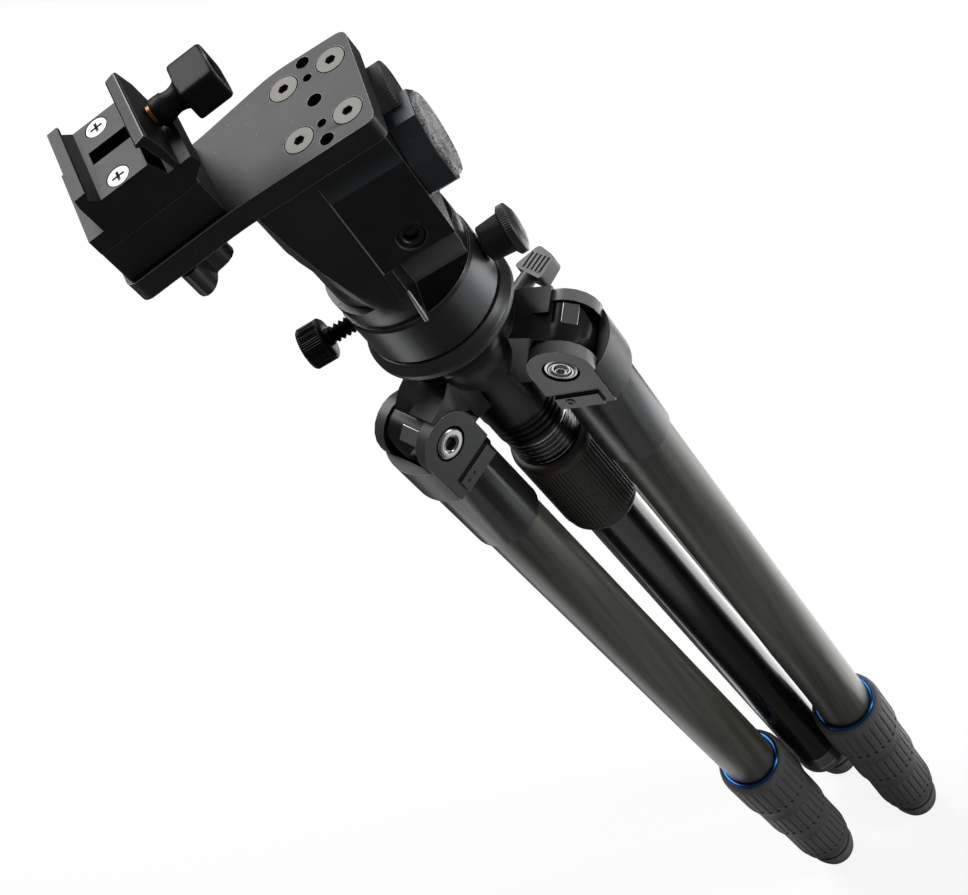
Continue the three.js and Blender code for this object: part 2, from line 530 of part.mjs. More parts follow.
// Fixed body: its cross-section in X and Z swept along the jaws.
function clampBody() {
  const foot = RISER_H + GAP;
  const outline = [[-RISER_HALF_X, foot], [22.6, foot], [22.6, 19.4], [24.6, 21.6], [28.8, 24.9],
    [27.4, SILL_H], [16.8, SILL_H], [13.6, FLOOR_H], [-8.1, FLOOR_H],
    [-12, 41.6], [-10.4, 43.6], [-10.7, 45], [-15.6, 44.8], [-16.2, 40.8], [-16, 26.6],
    [-RISER_HALF_X, 26.6]];
  const body = slab(outline, -CLAMP_HALF, CLAMP_HALF);
  const slot = box(-5.5, 20, CLAMP_SCREW.y - 4, CLAMP_SCREW.y + 4, CLAMP_SCREW.h - 4, FLOOR_H + 5);
  const seats = [-1, 1].map((side) => turned([
    [0, FLOOR_H - 14], [2.8, FLOOR_H - 14], [2.8, FLOOR_H - 3.4], [5.2, FLOOR_H - 1], [5.2, FLOOR_H + 5],
    [0, FLOOR_H + 5]], 20).translate(FLOOR_SCREW_X, side * FLOOR_SCREW_Y, 0));
  const screwHole = onScrewAxis(rod(CLAMP_SCREW_R + GAP, 0, 30, 16));
  return cut(body, slot, ...seats, screwHole);
}
add(clamp, 'clamp_body', clampBody(), ANODISED);

function movingJaw() {
  const low = SILL_H + GAP;
  const outline = [[19.4, low], [22.4, low], [22.1, 40], [20.6, 48.4], [19.8, 49], [15.2, 48],
    [14.4, 46.6], [17, 45.4], [17.6, 41], [18.6, 36]];
  const jaw = slab(outline, -CLAMP_HALF, CLAMP_HALF);
  return cut(jaw, onScrewAxis(rod(CLAMP_SCREW_R + GAP, 10, 30, 16)));
}
add(clamp, 'moving_jaw', movingJaw(), ANODISED);

add(clamp, 'brass_washer', onScrewAxis(tube(4.9, CLAMP_SCREW_R + GAP, ...WASHER_X, 20)), BRASS);

// Screw, waisted neck and a flat-sided grip block with a dished end.
function clampKnob() {
  const back = WASHER_X[1] + GAP;
  const shaft = turned([[0, 3], [CLAMP_SCREW_R, 3], [CLAMP_SCREW_R, back], [6, back], [6, back + 4],
    [5, 33], [5.8, 36.4], [6.6, 37.8], [0, 37.8]], 20);
  const block = prism(rounded([[-10.9, -7.4], [10.9, -7.4], [10.9, 7.4], [-10.9, 7.4]], 3.2), 37.2, 52.8);
  const dish = rod(5.6, 50.6, 60, 24);
  return onScrewAxis(cut(join(shaft, block), dish));
}
add(clamp, 'clamp_knob', clampKnob(), ANODISED);

function floorScrew(y) {
  const screw = turned([[0, FLOOR_H - 13], [2.5, FLOOR_H - 13], [2.5, FLOOR_H - 3.3], [4.9, FLOOR_H - 1],
    [4.9, FLOOR_H - 0.1], [0, FLOOR_H - 0.1]], 20);
  const slots = [box(-2.6, 2.6, -0.5, 0.5, FLOOR_H - 1.8, FLOOR_H + 2)];
  slots.push(slots[0].clone().rotateZ(Math.PI / 2));
  return cut(screw, ...slots).translate(FLOOR_SCREW_X, y, 0);
}
[-1, 1].forEach((side, i) => add(clamp, `floor_screw_${i + 1}`, floorScrew(side * FLOOR_SCREW_Y), ZINC));

// Three-lobed knob under the arm that locks the clamp's swivel.
function underKnob() {
  const lobes = Array.from({ length: 36 }, (_, i) => {
    const a = i * 2 * Math.PI / 36;
    const r = 9.6 + 3.9 * Math.cos(3 * (a + 1.94));
    return [r * Math.cos(a), r * Math.sin(a)];
  });
  const low = -PLATE_THICKNESS;
  const knob = join(prism(lobes, low - 25, low - 11), rod(7, low - 12, low - GAP, 20));
  return cut(knob, rod(SWIVEL_R + GAP, low - 12 - GAP, low + 5, 20)).translate(SWIVEL_X, 0, 0);
}
add(clamp, 'swivel_lock_knob', underKnob(), ANODISED);

export default object;
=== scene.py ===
# %% [markdown]
# # A folded carbon tripod with a one-sided tilt head
#
# The packed model is the frame that everything is hung on: its nodes give the places and the sizes, and its
# bodies carry the pieces when a joint moves. This lesson dresses that frame. Turned pieces are worked out
# again as fine surfaces with numpy, machined ones are copied and get their real edge breaks, and each
# finish is a small tree of shader nodes written as arithmetic.

# %% The frame
import json
import math
import bmesh
import bpy
import numpy as np
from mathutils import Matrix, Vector

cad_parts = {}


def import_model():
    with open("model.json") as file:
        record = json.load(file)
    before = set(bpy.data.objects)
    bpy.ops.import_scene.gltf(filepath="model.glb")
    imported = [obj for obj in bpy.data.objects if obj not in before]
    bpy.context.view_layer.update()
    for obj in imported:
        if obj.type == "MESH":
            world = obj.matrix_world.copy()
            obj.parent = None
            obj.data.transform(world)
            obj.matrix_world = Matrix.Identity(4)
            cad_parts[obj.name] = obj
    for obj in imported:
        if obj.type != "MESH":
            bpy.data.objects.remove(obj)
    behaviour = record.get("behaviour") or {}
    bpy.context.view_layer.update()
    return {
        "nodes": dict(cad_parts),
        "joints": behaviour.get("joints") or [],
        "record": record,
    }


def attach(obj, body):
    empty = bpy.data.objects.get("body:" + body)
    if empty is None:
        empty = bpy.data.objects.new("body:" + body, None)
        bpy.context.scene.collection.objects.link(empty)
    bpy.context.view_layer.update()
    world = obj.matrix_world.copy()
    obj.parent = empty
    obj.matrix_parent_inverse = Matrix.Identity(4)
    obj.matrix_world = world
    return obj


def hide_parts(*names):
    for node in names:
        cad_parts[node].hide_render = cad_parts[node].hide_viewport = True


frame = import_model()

MM = 0.001
joints = {joint["name"]: joint for joint in frame["joints"]}
bodies = frame["record"]["behaviour"]["bodies"]
body_of_node = {node: body for body, nodes in bodies.items() for node in nodes}
LEGS = "abc"
PIVOT = joints["leg_a_fold"]["pos_m"][2] / MM   # height of the legs' pivots, from which most are taken

# %% [markdown]
# ## Camera
#
# The tripod is looked at steeply from above, with the camera rolled over, so it lies across the view. The
# camera could be placed by hand and turned until it looks right. Here it is set by what it aims at, the two
# angles of its line of sight, its roll and its distance, because each of those can be put right by itself.

# %% Camera
def camera(aim, azimuth, elevation, roll, distance, lens):
    """The camera looks along (-sin a cos e, cos a cos e, -sin e), and the roll turns it about that line."""
    a, e = math.radians(azimuth), math.radians(elevation)
    back = np.array([math.sin(a) * math.cos(e), -math.cos(a) * math.cos(e), math.sin(e)])
    level = np.array([math.cos(a), math.sin(a), 0.0])
    upright = np.cross(back, level)
    turn = math.radians(roll)
    across = level * math.cos(turn) + upright * math.sin(turn)
    place = np.eye(4)
    place[:3, 0] = across
    place[:3, 1] = np.cross(back, across)
    place[:3, 2] = back
    place[:3, 3] = np.array(aim) + back * distance
    data = bpy.data.cameras.new("camera")
    data.lens = lens
    data.sensor_width = 36.0
    data.clip_start = 0.02
    data.clip_end = 20.0
    obj = bpy.data.objects.new("camera", data)
    obj.matrix_world = [list(column) for column in place.T]
    bpy.context.scene.collection.objects.link(obj)
    bpy.context.scene.camera = obj
    return obj


eye = camera(aim=(-0.0257, -0.0082, (PIVOT - 48.4) * MM), azimuth=17.64, elevation=47.5, roll=-42.73,
             distance=0.880, lens=69.04)
print("camera at", np.round(eye.matrix_world.translation, 4).tolist())

# %% [markdown]
# ## Shader nodes as arithmetic
#
# A finish is a network of nodes, and dozens of small Math nodes wired by hand are hard to read and harder
# to change. A thin class round a socket lets Python write them instead: adding two wires adds an Add node,
# and comparing them adds a comparison. One method, node(), makes every other kind of node.

# %% Any node, with its settings and inputs
class Tree:
    """The nodes of one material or world, with node() for any node and numbers or wires as its inputs."""

    def __init__(self, owner):
        owner.use_nodes = True
        self.owner = owner
        self.nodes = owner.node_tree.nodes
        self.links = owner.node_tree.links
        self.nodes.clear()

    def node(self, kind, settings=None, output=0, **inputs):
        """Adds a node, sets it up and feeds its inputs, each by name or by place (_0, _1 and so on)."""
        node = self.nodes.new(kind)
        for key, value in (settings or {}).items():
            if key == "stops":
                set_stops(node.color_ramp, value)
            else:
                setattr(node, key, value)
        for key, value in inputs.items():
            socket = node.inputs[int(key[1:])] if key[0] == "_" else node.inputs[key.replace("_", " ")]
            if isinstance(value, Wire):
                self.links.new(value.socket, socket)
            else:
                socket.default_value = value
        return Wire(self, node.outputs[output]) if node.outputs else None


def set_stops(ramp, stops):
    """Sets a colour ramp from (place, grey) pairs."""
    while len(ramp.elements) < len(stops):
        ramp.elements.new(1.0)
    for element, (place, level) in zip(ramp.elements, stops):
        element.position = place
        element.color = (level, level, level, 1.0)


print("a tree starts empty, and node() adds to it")


# %% A wire that can be reckoned with
class Wire:
    """A socket that can be added, multiplied and compared like a number."""

    def __init__(self, tree, socket):
        self.tree = tree
        self.socket = socket

    def maths(self, operation, first, second=0.0, clamp=False):
        """One Math node; clamp keeps its result between 0 and 1."""
        settings = {"operation": operation, "use_clamp": clamp}
        return self.tree.node("ShaderNodeMath", settings, _0=first, _1=second)

    def __add__(self, other):
        return self.maths("ADD", self, other)

    def __radd__(self, other):
        return self.maths("ADD", other, self)

    def __sub__(self, other):
        return self.maths("SUBTRACT", self, other)

    def __rsub__(self, other):
        return self.maths("SUBTRACT", other, self)

    def __mul__(self, other):
        return self.maths("MULTIPLY", self, other)

    def __rmul__(self, other):
        return self.maths("MULTIPLY", other, self)

    def __gt__(self, other):
        return self.maths("GREATER_THAN", self, other)

    def __lt__(self, other):
        return self.maths("LESS_THAN", self, other)

    def power(self, exponent):
        """The value raised to an exponent."""
        return self.maths("POWER", self, exponent)

    def clamped(self):
        """The value kept between 0 and 1."""
        return self.maths("ADD", self, 0.0, clamp=True)


print("a wire can", ", ".join(name.strip("_") for name, method in vars(Wire).items() if callable(method)))

# %% [markdown]
# ## Floor and world
#
# The floor and the world are white to the eye, so the tripod stands on white with only its shadow. To the
# reflections they are nearly black: dark metal in a white room would look pale all over, and its shape
# would be lost. The Light Path node tells the kinds of ray apart.

# %% Floor and world
GLOSSY_SHARE = 0.02   # how much of the white room the reflections show
FLOOR_SIZE, WORLD_LEVEL = 6.0, 0.10


def white_to_the_eye(tree, lit, emission):
    """Mixes a lit shader with a white one: camera and transmission rays see it, glossy ones dimly."""
    to_eye, glossy, through = (tree.node("ShaderNodeLightPath", output=f"Is {kind} Ray")
                               for kind in ("Camera", "Glossy", "Transmission"))
    seen = (to_eye + glossy * GLOSSY_SHARE + through).clamped()
    return tree.node("ShaderNodeMixShader", None, _0=seen, _1=lit, _2=emission)


def floor_material():
    """Pale grey to the light, and a glow that a shadow can still darken to the eye."""
    tree = Tree(bpy.data.materials.new("floor"))
    pale = tree.node("ShaderNodeBsdfDiffuse", Color=(0.15, 0.15, 0.15, 1.0))
    shadowed = tree.node("ShaderNodeBsdfDiffuse", Color=(0.26, 0.26, 0.26, 1.0))
    glow = tree.node("ShaderNodeEmission", Color=(1.0, 1.0, 1.0, 1.0), Strength=0.86)
    bright = tree.node("ShaderNodeAddShader", None, _0=shadowed, _1=glow)
    tree.node("ShaderNodeOutputMaterial", Surface=white_to_the_eye(tree, pale, bright))
    return tree.owner


def floor(size):
    """A square sheet at height 0, which belongs to the stage and not to the object."""
    half = size / 2
    mesh = bpy.data.meshes.new("floor")
    corners = [(-half, -half, 0), (half, -half, 0), (half, half, 0), (-half, half, 0)]
    mesh.from_pydata(corners, [], [(0, 1, 2, 3)])
    obj = bpy.data.objects.new("floor", mesh)
    obj.data.materials.append(floor_material())
    bpy.context.scene.collection.objects.link(obj)


def world(lit_level):
    """The world lights softly and evenly; the camera sees it as white."""
    sky = bpy.data.worlds.new("studio")
    bpy.context.scene.world = sky
    tree = Tree(sky)
    lit = tree.node("ShaderNodeBackground", Color=(1.0, 1.0, 1.0, 1.0), Strength=lit_level)
    white = tree.node("ShaderNodeBackground", Color=(1.0, 1.0, 1.0, 1.0), Strength=1.0)
    tree.node("ShaderNodeOutputWorld", Surface=white_to_the_eye(tree, lit, white))


floor(FLOOR_SIZE)
world(WORLD_LEVEL)
bpy.context.scene.view_settings.view_transform = "Standard"
print("floor of", FLOOR_SIZE, "m and a white world")

# %% [markdown]
# ## Lamps
#
# Black metal shows what it reflects, so the lamps are drawn on the tripod as streaks and gradients. Wide
# soft boxes light the top faces. Seen from above, an upright tube reflects what lies low beside it, so
# panels just above the floor, facing up, draw the long streaks down the tubes: the nearer the panel, the
# lower its streak.

# %% Soft boxes and low panels
POWER_PER_AREA = 4.0   # makes a lamp's power from its radiance and its area


def area_lamp(name, size, radiance, place, turn):
    """A rectangular lamp that the camera does not see, shining down its own -Z from its place."""
    data = bpy.data.lights.new(name, "AREA")
    data.shape = "RECTANGLE"
    data.size, data.size_y = size
    data.energy = radiance * POWER_PER_AREA * size[0] * size[1]
    obj = bpy.data.objects.new(name, data)
    obj.location = place
    obj.rotation_euler = turn
    obj.visible_camera = False
    bpy.context.scene.collection.objects.link(obj)


def soft_box(name, towards, distance, size, radiance):
    """A soft box that faces the hub from the given direction."""
    direction = Vector(towards).normalized()
    hub = Vector((0.0, 0.0, PIVOT * MM))
    area_lamp(name, size, radiance, hub + direction * distance, direction.to_track_quat("Z", "Y").to_euler())


def low_panel(name, azimuth, size, radiance, reach, height=0.03):
    """A panel low beside the feet, facing up, at an azimuth and a reach from the column."""
    a = math.radians(azimuth)
    place = (reach * math.cos(a), reach * math.sin(a), height)
    area_lamp(name, size, radiance, place, (math.pi, 0.0, a))


BOXES = [("overhead_box", (-0.32, 0.70, 0.80), 2.0, (1.5, 1.1), 3.4),
         ("right_box", (0.95, -0.30, 0.30), 1.8, (0.4, 1.6), 4.0),
         ("low_box", (0.61, 0.77, 0.22), 2.0, (1.2, 0.5), 1.5)]
PANELS = [("left_panel", 196, (0.60, 0.40), 1.25, 0.62), ("left_low_panel", 186, (0.26, 0.14), 0.8, 0.20),
          ("right_panel", 12, (0.60, 0.46), 2.5, 0.66), ("right_near_panel", 330, (0.50, 0.36), 0.75, 0.60),
          ("right_low_panel", 40, (0.34, 0.26), 1.7, 0.235), ("near_panel", 270, (0.20, 0.36), 0.32, 0.27),
          ("back_panel", 72, (0.50, 0.26), 2.4, 0.45)]
for box in BOXES:
    soft_box(*box)
for panel in PANELS:
    low_panel(*panel)
print(len(BOXES), "soft boxes and", len(PANELS), "low panels")

# %% [markdown]
# ## Turned surfaces
#
# Tubes, rings, grips, knobs and bolts are all round about one axis, whether they were turned, wound or
# moulded, so each is one closed outline of radius and height, swept round that axis. Spinning an outline in
# the editor would do for plain ones. Worked out with numpy, the radius may also follow a rule of angle and
# height, and that rule makes knurls, grooves, threads and hexagons.

# %% A mesh from arrays
def piece(name, vertices, faces, uv=None, smooth_below=38):
    """A new mesh object from an array of points (mm) and a list of equal-sided face arrays."""
    mesh = bpy.data.meshes.new(name)
    loops = np.concatenate([f.ravel() for f in faces])
    totals = np.concatenate([np.full(len(f), f.shape[1]) for f in faces])
    starts = np.concatenate([[0], np.cumsum(totals)[:-1]])
    mesh.vertices.add(len(vertices))
    mesh.vertices.foreach_set("co", (np.asarray(vertices) * MM).astype(np.float32).ravel())
    mesh.loops.add(len(loops))
    mesh.loops.foreach_set("vertex_index", loops.astype(np.int32))
    mesh.polygons.add(len(totals))
    mesh.polygons.foreach_set("loop_start", starts.astype(np.int32))
    if uv is not None:
        layer = mesh.uv_layers.new(name="wrap")
        layer.data.foreach_set("uv", np.asarray(uv, np.float32).ravel())
    mesh.update(calc_edges=True)
    mesh.validate()
    mesh.shade_smooth()
    mesh.set_sharp_from_angle(angle=math.radians(smooth_below))
    obj = bpy.data.objects.new(name, mesh)
    bpy.context.scene.collection.objects.link(obj)
    return obj


print("lengths are in mm, and one mm is", MM, "of the scene's units")


# %% Points, quads and wrap coordinates of a turned surface
def turned(profile, columns=96, radius=None):
    """Points (r cos t, r sin t, z) of a closed profile of (r, z) pairs; radius(t, r, z) may change r."""
    profile = np.asarray(profile, float)
    angle = np.linspace(0, 2 * math.pi, columns, endpoint=False)[None, :]
    t, r, z = (np.broadcast_to(a, (len(profile), columns)) for a in (angle, profile[:, :1], profile[:, 1:]))
    r = r if radius is None else radius(t, r, z)
    return np.stack([r * np.cos(t), r * np.sin(t), z], -1)


def closed_quads(rows, columns):
    """Quads of a grid of points that closes on itself both ways."""
    index = np.arange(rows * columns).reshape(rows, columns)
    right, down = np.roll(index, -1, 1), np.roll(index, -1, 0)
    across = np.roll(down, -1, 1)
    return np.stack([index, right, across, down], -1).reshape(-1, 4)


def wrap_uv(points, wrap_radius=16.0):
    """For each corner of each quad: how far round (as an arc of one radius) and how far along, in metres."""
    rows, columns = points.shape[:2]
    around = np.arange(columns + 1) / columns * 2 * math.pi * wrap_radius * MM
    along = points[:, 0, 2] * MM
    u = np.stack([around[:-1], around[1:], around[1:], around[:-1]], -1)
    v = np.stack([along, along, np.roll(along, -1), np.roll(along, -1)], -1)
    u = np.broadcast_to(u[None], (rows, columns, 4))
    v = np.broadcast_to(v[:, None], (rows, columns, 4))
    return np.stack([u, v], -1).reshape(-1, 4, 2)


def outward(vertices, quads, uv):
    """The quads and their wrap coordinates, wound so that the volume they enclose is positive."""
    a, b, c, d = (vertices[quads[:, k]] for k in range(4))
    volume = (a * np.cross(b, c)).sum() + (a * np.cross(c, d)).sum()
    return (quads[:, ::-1], uv[:, ::-1]) if volume < 0 else (quads, uv)


print("a ring of four corners and twelve columns:", turned([(1, 0), (2, 0), (2, 1), (1, 1)], 12).shape)

# %% A turned piece
def turned_piece(name, profile, place=None, columns=96, radius=None, smooth_below=38, shade_depth=None):
    """A closed surface of revolution with its own wrap coordinates, moved by place (points -> points).

    The mesh keeps, as the attribute "depth", how far each point lies inside its profile's own radius: 0 on
    the ridges and more in the grooves, so that a finish can paint shade into them. shade_depth(r, z) adds to
    it where a neighbour keeps the light out, for more painted shade.
    """
    points = turned(profile, columns, radius)
    r = np.hypot(points[..., 0], points[..., 1])
    depth = np.asarray(profile, float)[:, :1] - r
    if shade_depth is not None:
        depth = depth + shade_depth(r, points[..., 2])
    vertices = points.reshape(-1, 3)
    quads, uv = outward(vertices, closed_quads(*points.shape[:2]), wrap_uv(points))
    obj = piece(name, vertices if place is None else place(vertices), [quads], uv, smooth_below)
    attribute = obj.data.attributes.new("depth", "FLOAT", "POINT")
    attribute.data.foreach_set("value", depth.astype(np.float32).ravel())
    return obj


def eased(profile, radius, steps=4):
    """Each corner p of the closed profile made a curve from a to b, a (1-s)^2 + 2 p s (1-s) + b s^2."""
    p = np.asarray(profile, float)
    before, after = np.roll(p, 1, 0) - p, np.roll(p, -1, 0) - p
    long_in, long_out = (np.linalg.norm(v, axis=1, keepdims=True) for v in (before, after))
    start = p + before / long_in * np.minimum(radius, long_in * 0.45)
    end = p + after / long_out * np.minimum(radius, long_out * 0.45)
    s = np.linspace(0, 1, steps + 1)[None, :, None]
    curve = start[:, None] * (1 - s) ** 2 + 2 * p[:, None] * s * (1 - s) + end[:, None] * s ** 2
    return curve.reshape(-1, 2)


def span(r, low, high, rows):
    """Profile points at one radius between two heights."""
    return [(r, z) for z in np.linspace(low, high, rows)]


def about(axis, origin):
    """Carries a piece turned about its own Z (mm) so that Z runs along the axis through the origin (mm)."""
    z = np.array(axis, float) / np.linalg.norm(axis)
    side = (0.0, 0.0, 1.0) if abs(z[2]) < 0.9 else (1.0, 0.0, 0.0)
    x = np.cross(side, z) / np.linalg.norm(np.cross(side, z))
    basis = np.stack([x, np.cross(z, x), z])
    return lambda points: points @ basis + np.array(origin, float)


print("a square with eased corners:", len(eased([(1, 0), (2, 0), (2, 1), (1, 1)], 0.2)), "points")

# %% [markdown]
# ## Finishes
#
# Almost everything here is dark: bead-blasted anodised aluminium, painted castings, clear-coated carbon and
# rubber. What tells them apart is how each one breaks up a reflection, so every finish gets its own fine
# grain in roughness and bump, at the real scale of the surface. One recipe with a few amounts makes the
# plain finishes; the ones with a pattern of their own get a function each.

# %% Helpers of the finishes
def place_on_piece(tree):
    """Where a point lies in the piece's own coordinates, which stay with the piece when it moves."""
    return tree.node("ShaderNodeTexCoord", output="Object")


def speckle(tree, scale, detail=3.0, coordinate=None):
    """Fine noise from 0 to 1, scale in cells a metre."""
    return tree.node("ShaderNodeTexNoise", None, Vector=coordinate or place_on_piece(tree), Scale=scale,
                     Detail=detail, Roughness=0.6)


def shade(tree, dark, light, factor):
    """Between two colours, given as numbers or as wires, by a factor."""
    ends = [end if isinstance(end, Wire) else (*end, 1.0) for end in (dark, light)]
    return tree.node("ShaderNodeMix", {"data_type": "RGBA"}, output=2, _0=factor, _6=ends[0], _7=ends[1])


def relief(tree, height, distance_mm):
    """Bumps that rise by the distance where the height goes from 0 to 1."""
    return tree.node("ShaderNodeBump", None, Height=height, Distance=distance_mm * MM, Strength=1.0)


def surface(tree, **inputs):
    """Finishes the tree with a Principled shader and gives back its material."""
    shader = tree.node("ShaderNodeBsdfPrincipled", None, **inputs)
    tree.node("ShaderNodeOutputMaterial", None, Surface=shader)
    return tree.owner


def flecks(tree, spacing_mm, share, spot=0.11):
    """1 in small round spots scattered on a grid of cells, in the given share of the cells, 0 elsewhere."""
    where, scale = place_on_piece(tree), 1 / (spacing_mm * MM)
    distance = tree.node("ShaderNodeTexVoronoi", None, Vector=where, Scale=scale)
    cell_colour = tree.node("ShaderNodeTexVoronoi", None, 1, Vector=where, Scale=scale)
    chosen = tree.node("ShaderNodeSeparateColor", None, Color=cell_colour) < share
    return (distance < spot) * chosen


def grooves(tree, gain):
    """How much painted shade darkens the bottom of a groove, from 0 on the ridges to 1."""
    depth = tree.node("ShaderNodeAttribute", {"attribute_name": "depth"}, 2)
    return (depth * gain).clamped()


def grey(low, high, tint=(1.0, 1.0, 1.0)):
    """Two greys of one tint, as the dark and the light end of a finish."""
    return tuple(low * t for t in tint), tuple(high * t for t in tint)


COOL, WARM, BROWN, BLUED = (0.97, 1.0, 1.03), (1.0, 0.97, 0.90), (1.0, 0.90, 0.76), (0.88, 1.0, 1.12)
print("a cool grey:", np.round(grey(0.05, 0.08, COOL), 4).tolist())

# %% The recipe for grained finishes
def grained(name, dark, light, rough, grain_mm=0.35, metal=0.0, bump=0.02, dust=0.0, groove=0.0,
            contrast=1.0):
    """A fine even grain with faint cloudy marks of handling and, if asked, pale flecks and painted groove
    shade.
    """
    tree = Tree(bpy.data.materials.new(name))
    grain = speckle(tree, 1 / (grain_mm * MM), 2.0)
    cloud = speckle(tree, 60.0, 4.0)
    mottle = grain * 0.6 + cloud * 0.4
    colour = shade(tree, dark, light, ((mottle - 0.5) * contrast + 0.5).clamped())
    if dust:
        colour = shade(tree, colour, tuple(4 * c for c in light), flecks(tree, 2.6, dust) * 0.5)
    # painted shade: the grooves are darkened by their depth
    if groove:
        colour = shade(tree, colour, tuple(0.15 * c for c in dark), grooves(tree, groove))
    roughness = rough + (cloud - 0.5) * 0.12 + (grain - 0.5) * 0.08
    return surface(tree, Base_Color=colour, Roughness=roughness, Metallic=metal,
                   Normal=relief(tree, grain, bump))


FINISH = {
    "anodised": grained("black_anodised", *grey(0.044, 0.066, COOL), 0.33, metal=0.92),
    "disc": grained("disc_anodised", *grey(0.075, 0.12, COOL), 0.38, metal=0.9),
    "plate": grained("plate_anodised", *grey(0.045, 0.072), 0.42, metal=0.92, bump=0.04, dust=0.12),
    "clamp": grained("clamp_anodised", *grey(0.040, 0.066), 0.40, metal=0.92, bump=0.03),
    "knob_black": grained("knob_black", *grey(0.022, 0.034, COOL), 0.36, metal=0.9, groove=0.9),
    "knob_grey": grained("knob_grey", *grey(0.020, 0.031, COOL), 0.44, metal=0.9),
    "knob_cast": grained("knob_cast", *grey(0.085, 0.15), 0.42, 0.7, metal=0.85, bump=0.07, dust=0.05),
    "blued": grained("blued_metal", *grey(0.070, 0.125, BLUED), 0.34, 0.8, metal=0.85, bump=0.06, dust=0.06),
    "speckled": grained("speckled_face", *grey(0.07, 0.80), 0.5, 0.9, metal=0.3, bump=0.2, contrast=5.0),
    "hub_cast": grained("hub_cast", *grey(0.030, 0.050, COOL), 0.30, 0.6, metal=0.85, bump=0.04),
    "wing": grained("wing_cast", *grey(0.10, 0.17), 0.45, 0.6, metal=0.7, bump=0.08),
    "tab": grained("tab_paint", *grey(0.046, 0.066, COOL), 0.42, metal=0.85, bump=0.03),
}
print(len(FINISH), "finishes of aluminium and castings")

# %% Painted edge highlights, bare metal, rubber
FINISH |= {
    # The three edge finishes below are painted highlights: paler greys for bevels and beads, standing for the
    # light an edge catches.
    "soft_edge": grained("soft_edge", *grey(0.09, 0.13, COOL), 0.30, metal=0.95),
    "worn_edge": grained("worn_edge", *grey(0.22, 0.32, COOL), 0.30, metal=0.75),
    "bright_edge": grained("bright_edge", *grey(0.34, 0.46), 0.28, metal=0.55),
    "bright_steel": grained("bright_steel", *grey(0.40, 0.58), 0.20, metal=1.0, bump=0.005, groove=0.5),
    "dark_steel": grained("dark_steel", *grey(0.085, 0.14, WARM), 0.36, metal=0.95, bump=0.02, groove=0.5),
    "zinc": grained("zinc", *grey(0.40, 0.60, WARM), 0.38, metal=0.9, bump=0.02),
    "brass": grained("brass", (0.22, 0.10, 0.04), (0.42, 0.22, 0.10), 0.35, metal=1.0, bump=0.01),
    "blue": grained("blue_anodised", (0.015, 0.07, 0.22), (0.025, 0.12, 0.34), 0.22, metal=1.0, bump=0.005),
    "gloss": grained("gloss_tube", *grey(0.006, 0.011), 0.16, bump=0.002),
    "hole": grained("painted_hole_shade", *grey(0.004, 0.007), 0.6),
    "brown_grip": grained("brown_grip", *grey(0.048, 0.082, BROWN), 0.5, bump=0.03, groove=0.8),
    "foot_rubber": grained("foot_rubber", *grey(0.25, 0.38, COOL), 0.6, 0.8, bump=0.06, groove=0.62),
}
RUBBER_WITH_PAINTED_FLOOR_LIGHT = [(0.080, 0.150), (0.100, 0.180), (0.135, 0.225)]   # the lower a grip sits, the paler its rubber: painted light, standing for light thrown up from the floor
for i, greys in enumerate(RUBBER_WITH_PAINTED_FLOOR_LIGHT):
    name = f"rubber_{i + 1}"
    FINISH[name] = grained(name, *grey(*greys), 0.66, 0.8, bump=0.08, groove=0.62)
print(len(FINISH), "finishes so far")

# %% [markdown]
# ## Finishes with a pattern
#
# Carbon tubes show the fibres that wind slowly round them, so their streaks follow the wrap coordinates of
# the tube. The tilt block, the cradle's step and the cheeks of the legs catch the light in one place only.
# That light is painted into their colour: paint and anodising are drawn paler there, a painted highlight,
# and the pattern reads its place from the piece's own coordinates.

# %% Carbon
def carbon():
    """Clear-coated carbon: fibres wind slowly round the tube, in long soft olive and brown-grey streaks."""
    tree = Tree(bpy.data.materials.new("carbon"))
    wrap = tree.node("ShaderNodeUVMap", {"uv_map": "wrap"})
    wound = tree.node("ShaderNodeMapping", None, Vector=wrap, Rotation=(0.0, 0.0, math.radians(3)))
    stretched = tree.node("ShaderNodeMapping", None, Vector=wound, Scale=(1.0, 0.04, 1.0))
    streak = speckle(tree, 190.0, 2.0, stretched)
    fine = speckle(tree, 2600.0, 2.0, stretched)
    mix = ((streak - 0.5) * 2.4 + 0.5).clamped()
    colour = shade(tree, (0.044, 0.043, 0.032), (0.132, 0.127, 0.102), mix * 0.85 + fine * 0.15)
    return surface(tree, Base_Color=colour, Roughness=0.38 + (fine - 0.5) * 0.1, Metallic=0.0,
                   Specular_IOR_Level=0.36, Normal=relief(tree, fine, 0.01), Coat_Weight=0.12,
                   Coat_Roughness=0.26)


FINISH["carbon"] = carbon()
print("carbon, in", len(FINISH["carbon"].node_tree.nodes), "nodes")

# %% Tilt block, cradle and leg castings
TILT_Z = joints["tilt_turn"]["pos_m"][2] / MM
DISC_Z = PIVOT + 32.7          # underside of the head's base disc
SHOULDER_Z = DISC_Z + 37.7     # top of the head's round base, where the cradle's step stands
BLOCK_FOLD_Z = TILT_Z + 13.0   # fold of the tilt block's faces
STEP_Y = -12.5                 # upright face of the cradle's step
CHEEK_R, CHEEK_IN = 15.4, 10.6   # radius of a leg's cheek, and just inside its inner face


def part_of(tree, vector, axis):
    """One of x, y and z (0, 1, 2) of a vector."""
    return tree.node("ShaderNodeSeparateXYZ", output=axis, Vector=vector)


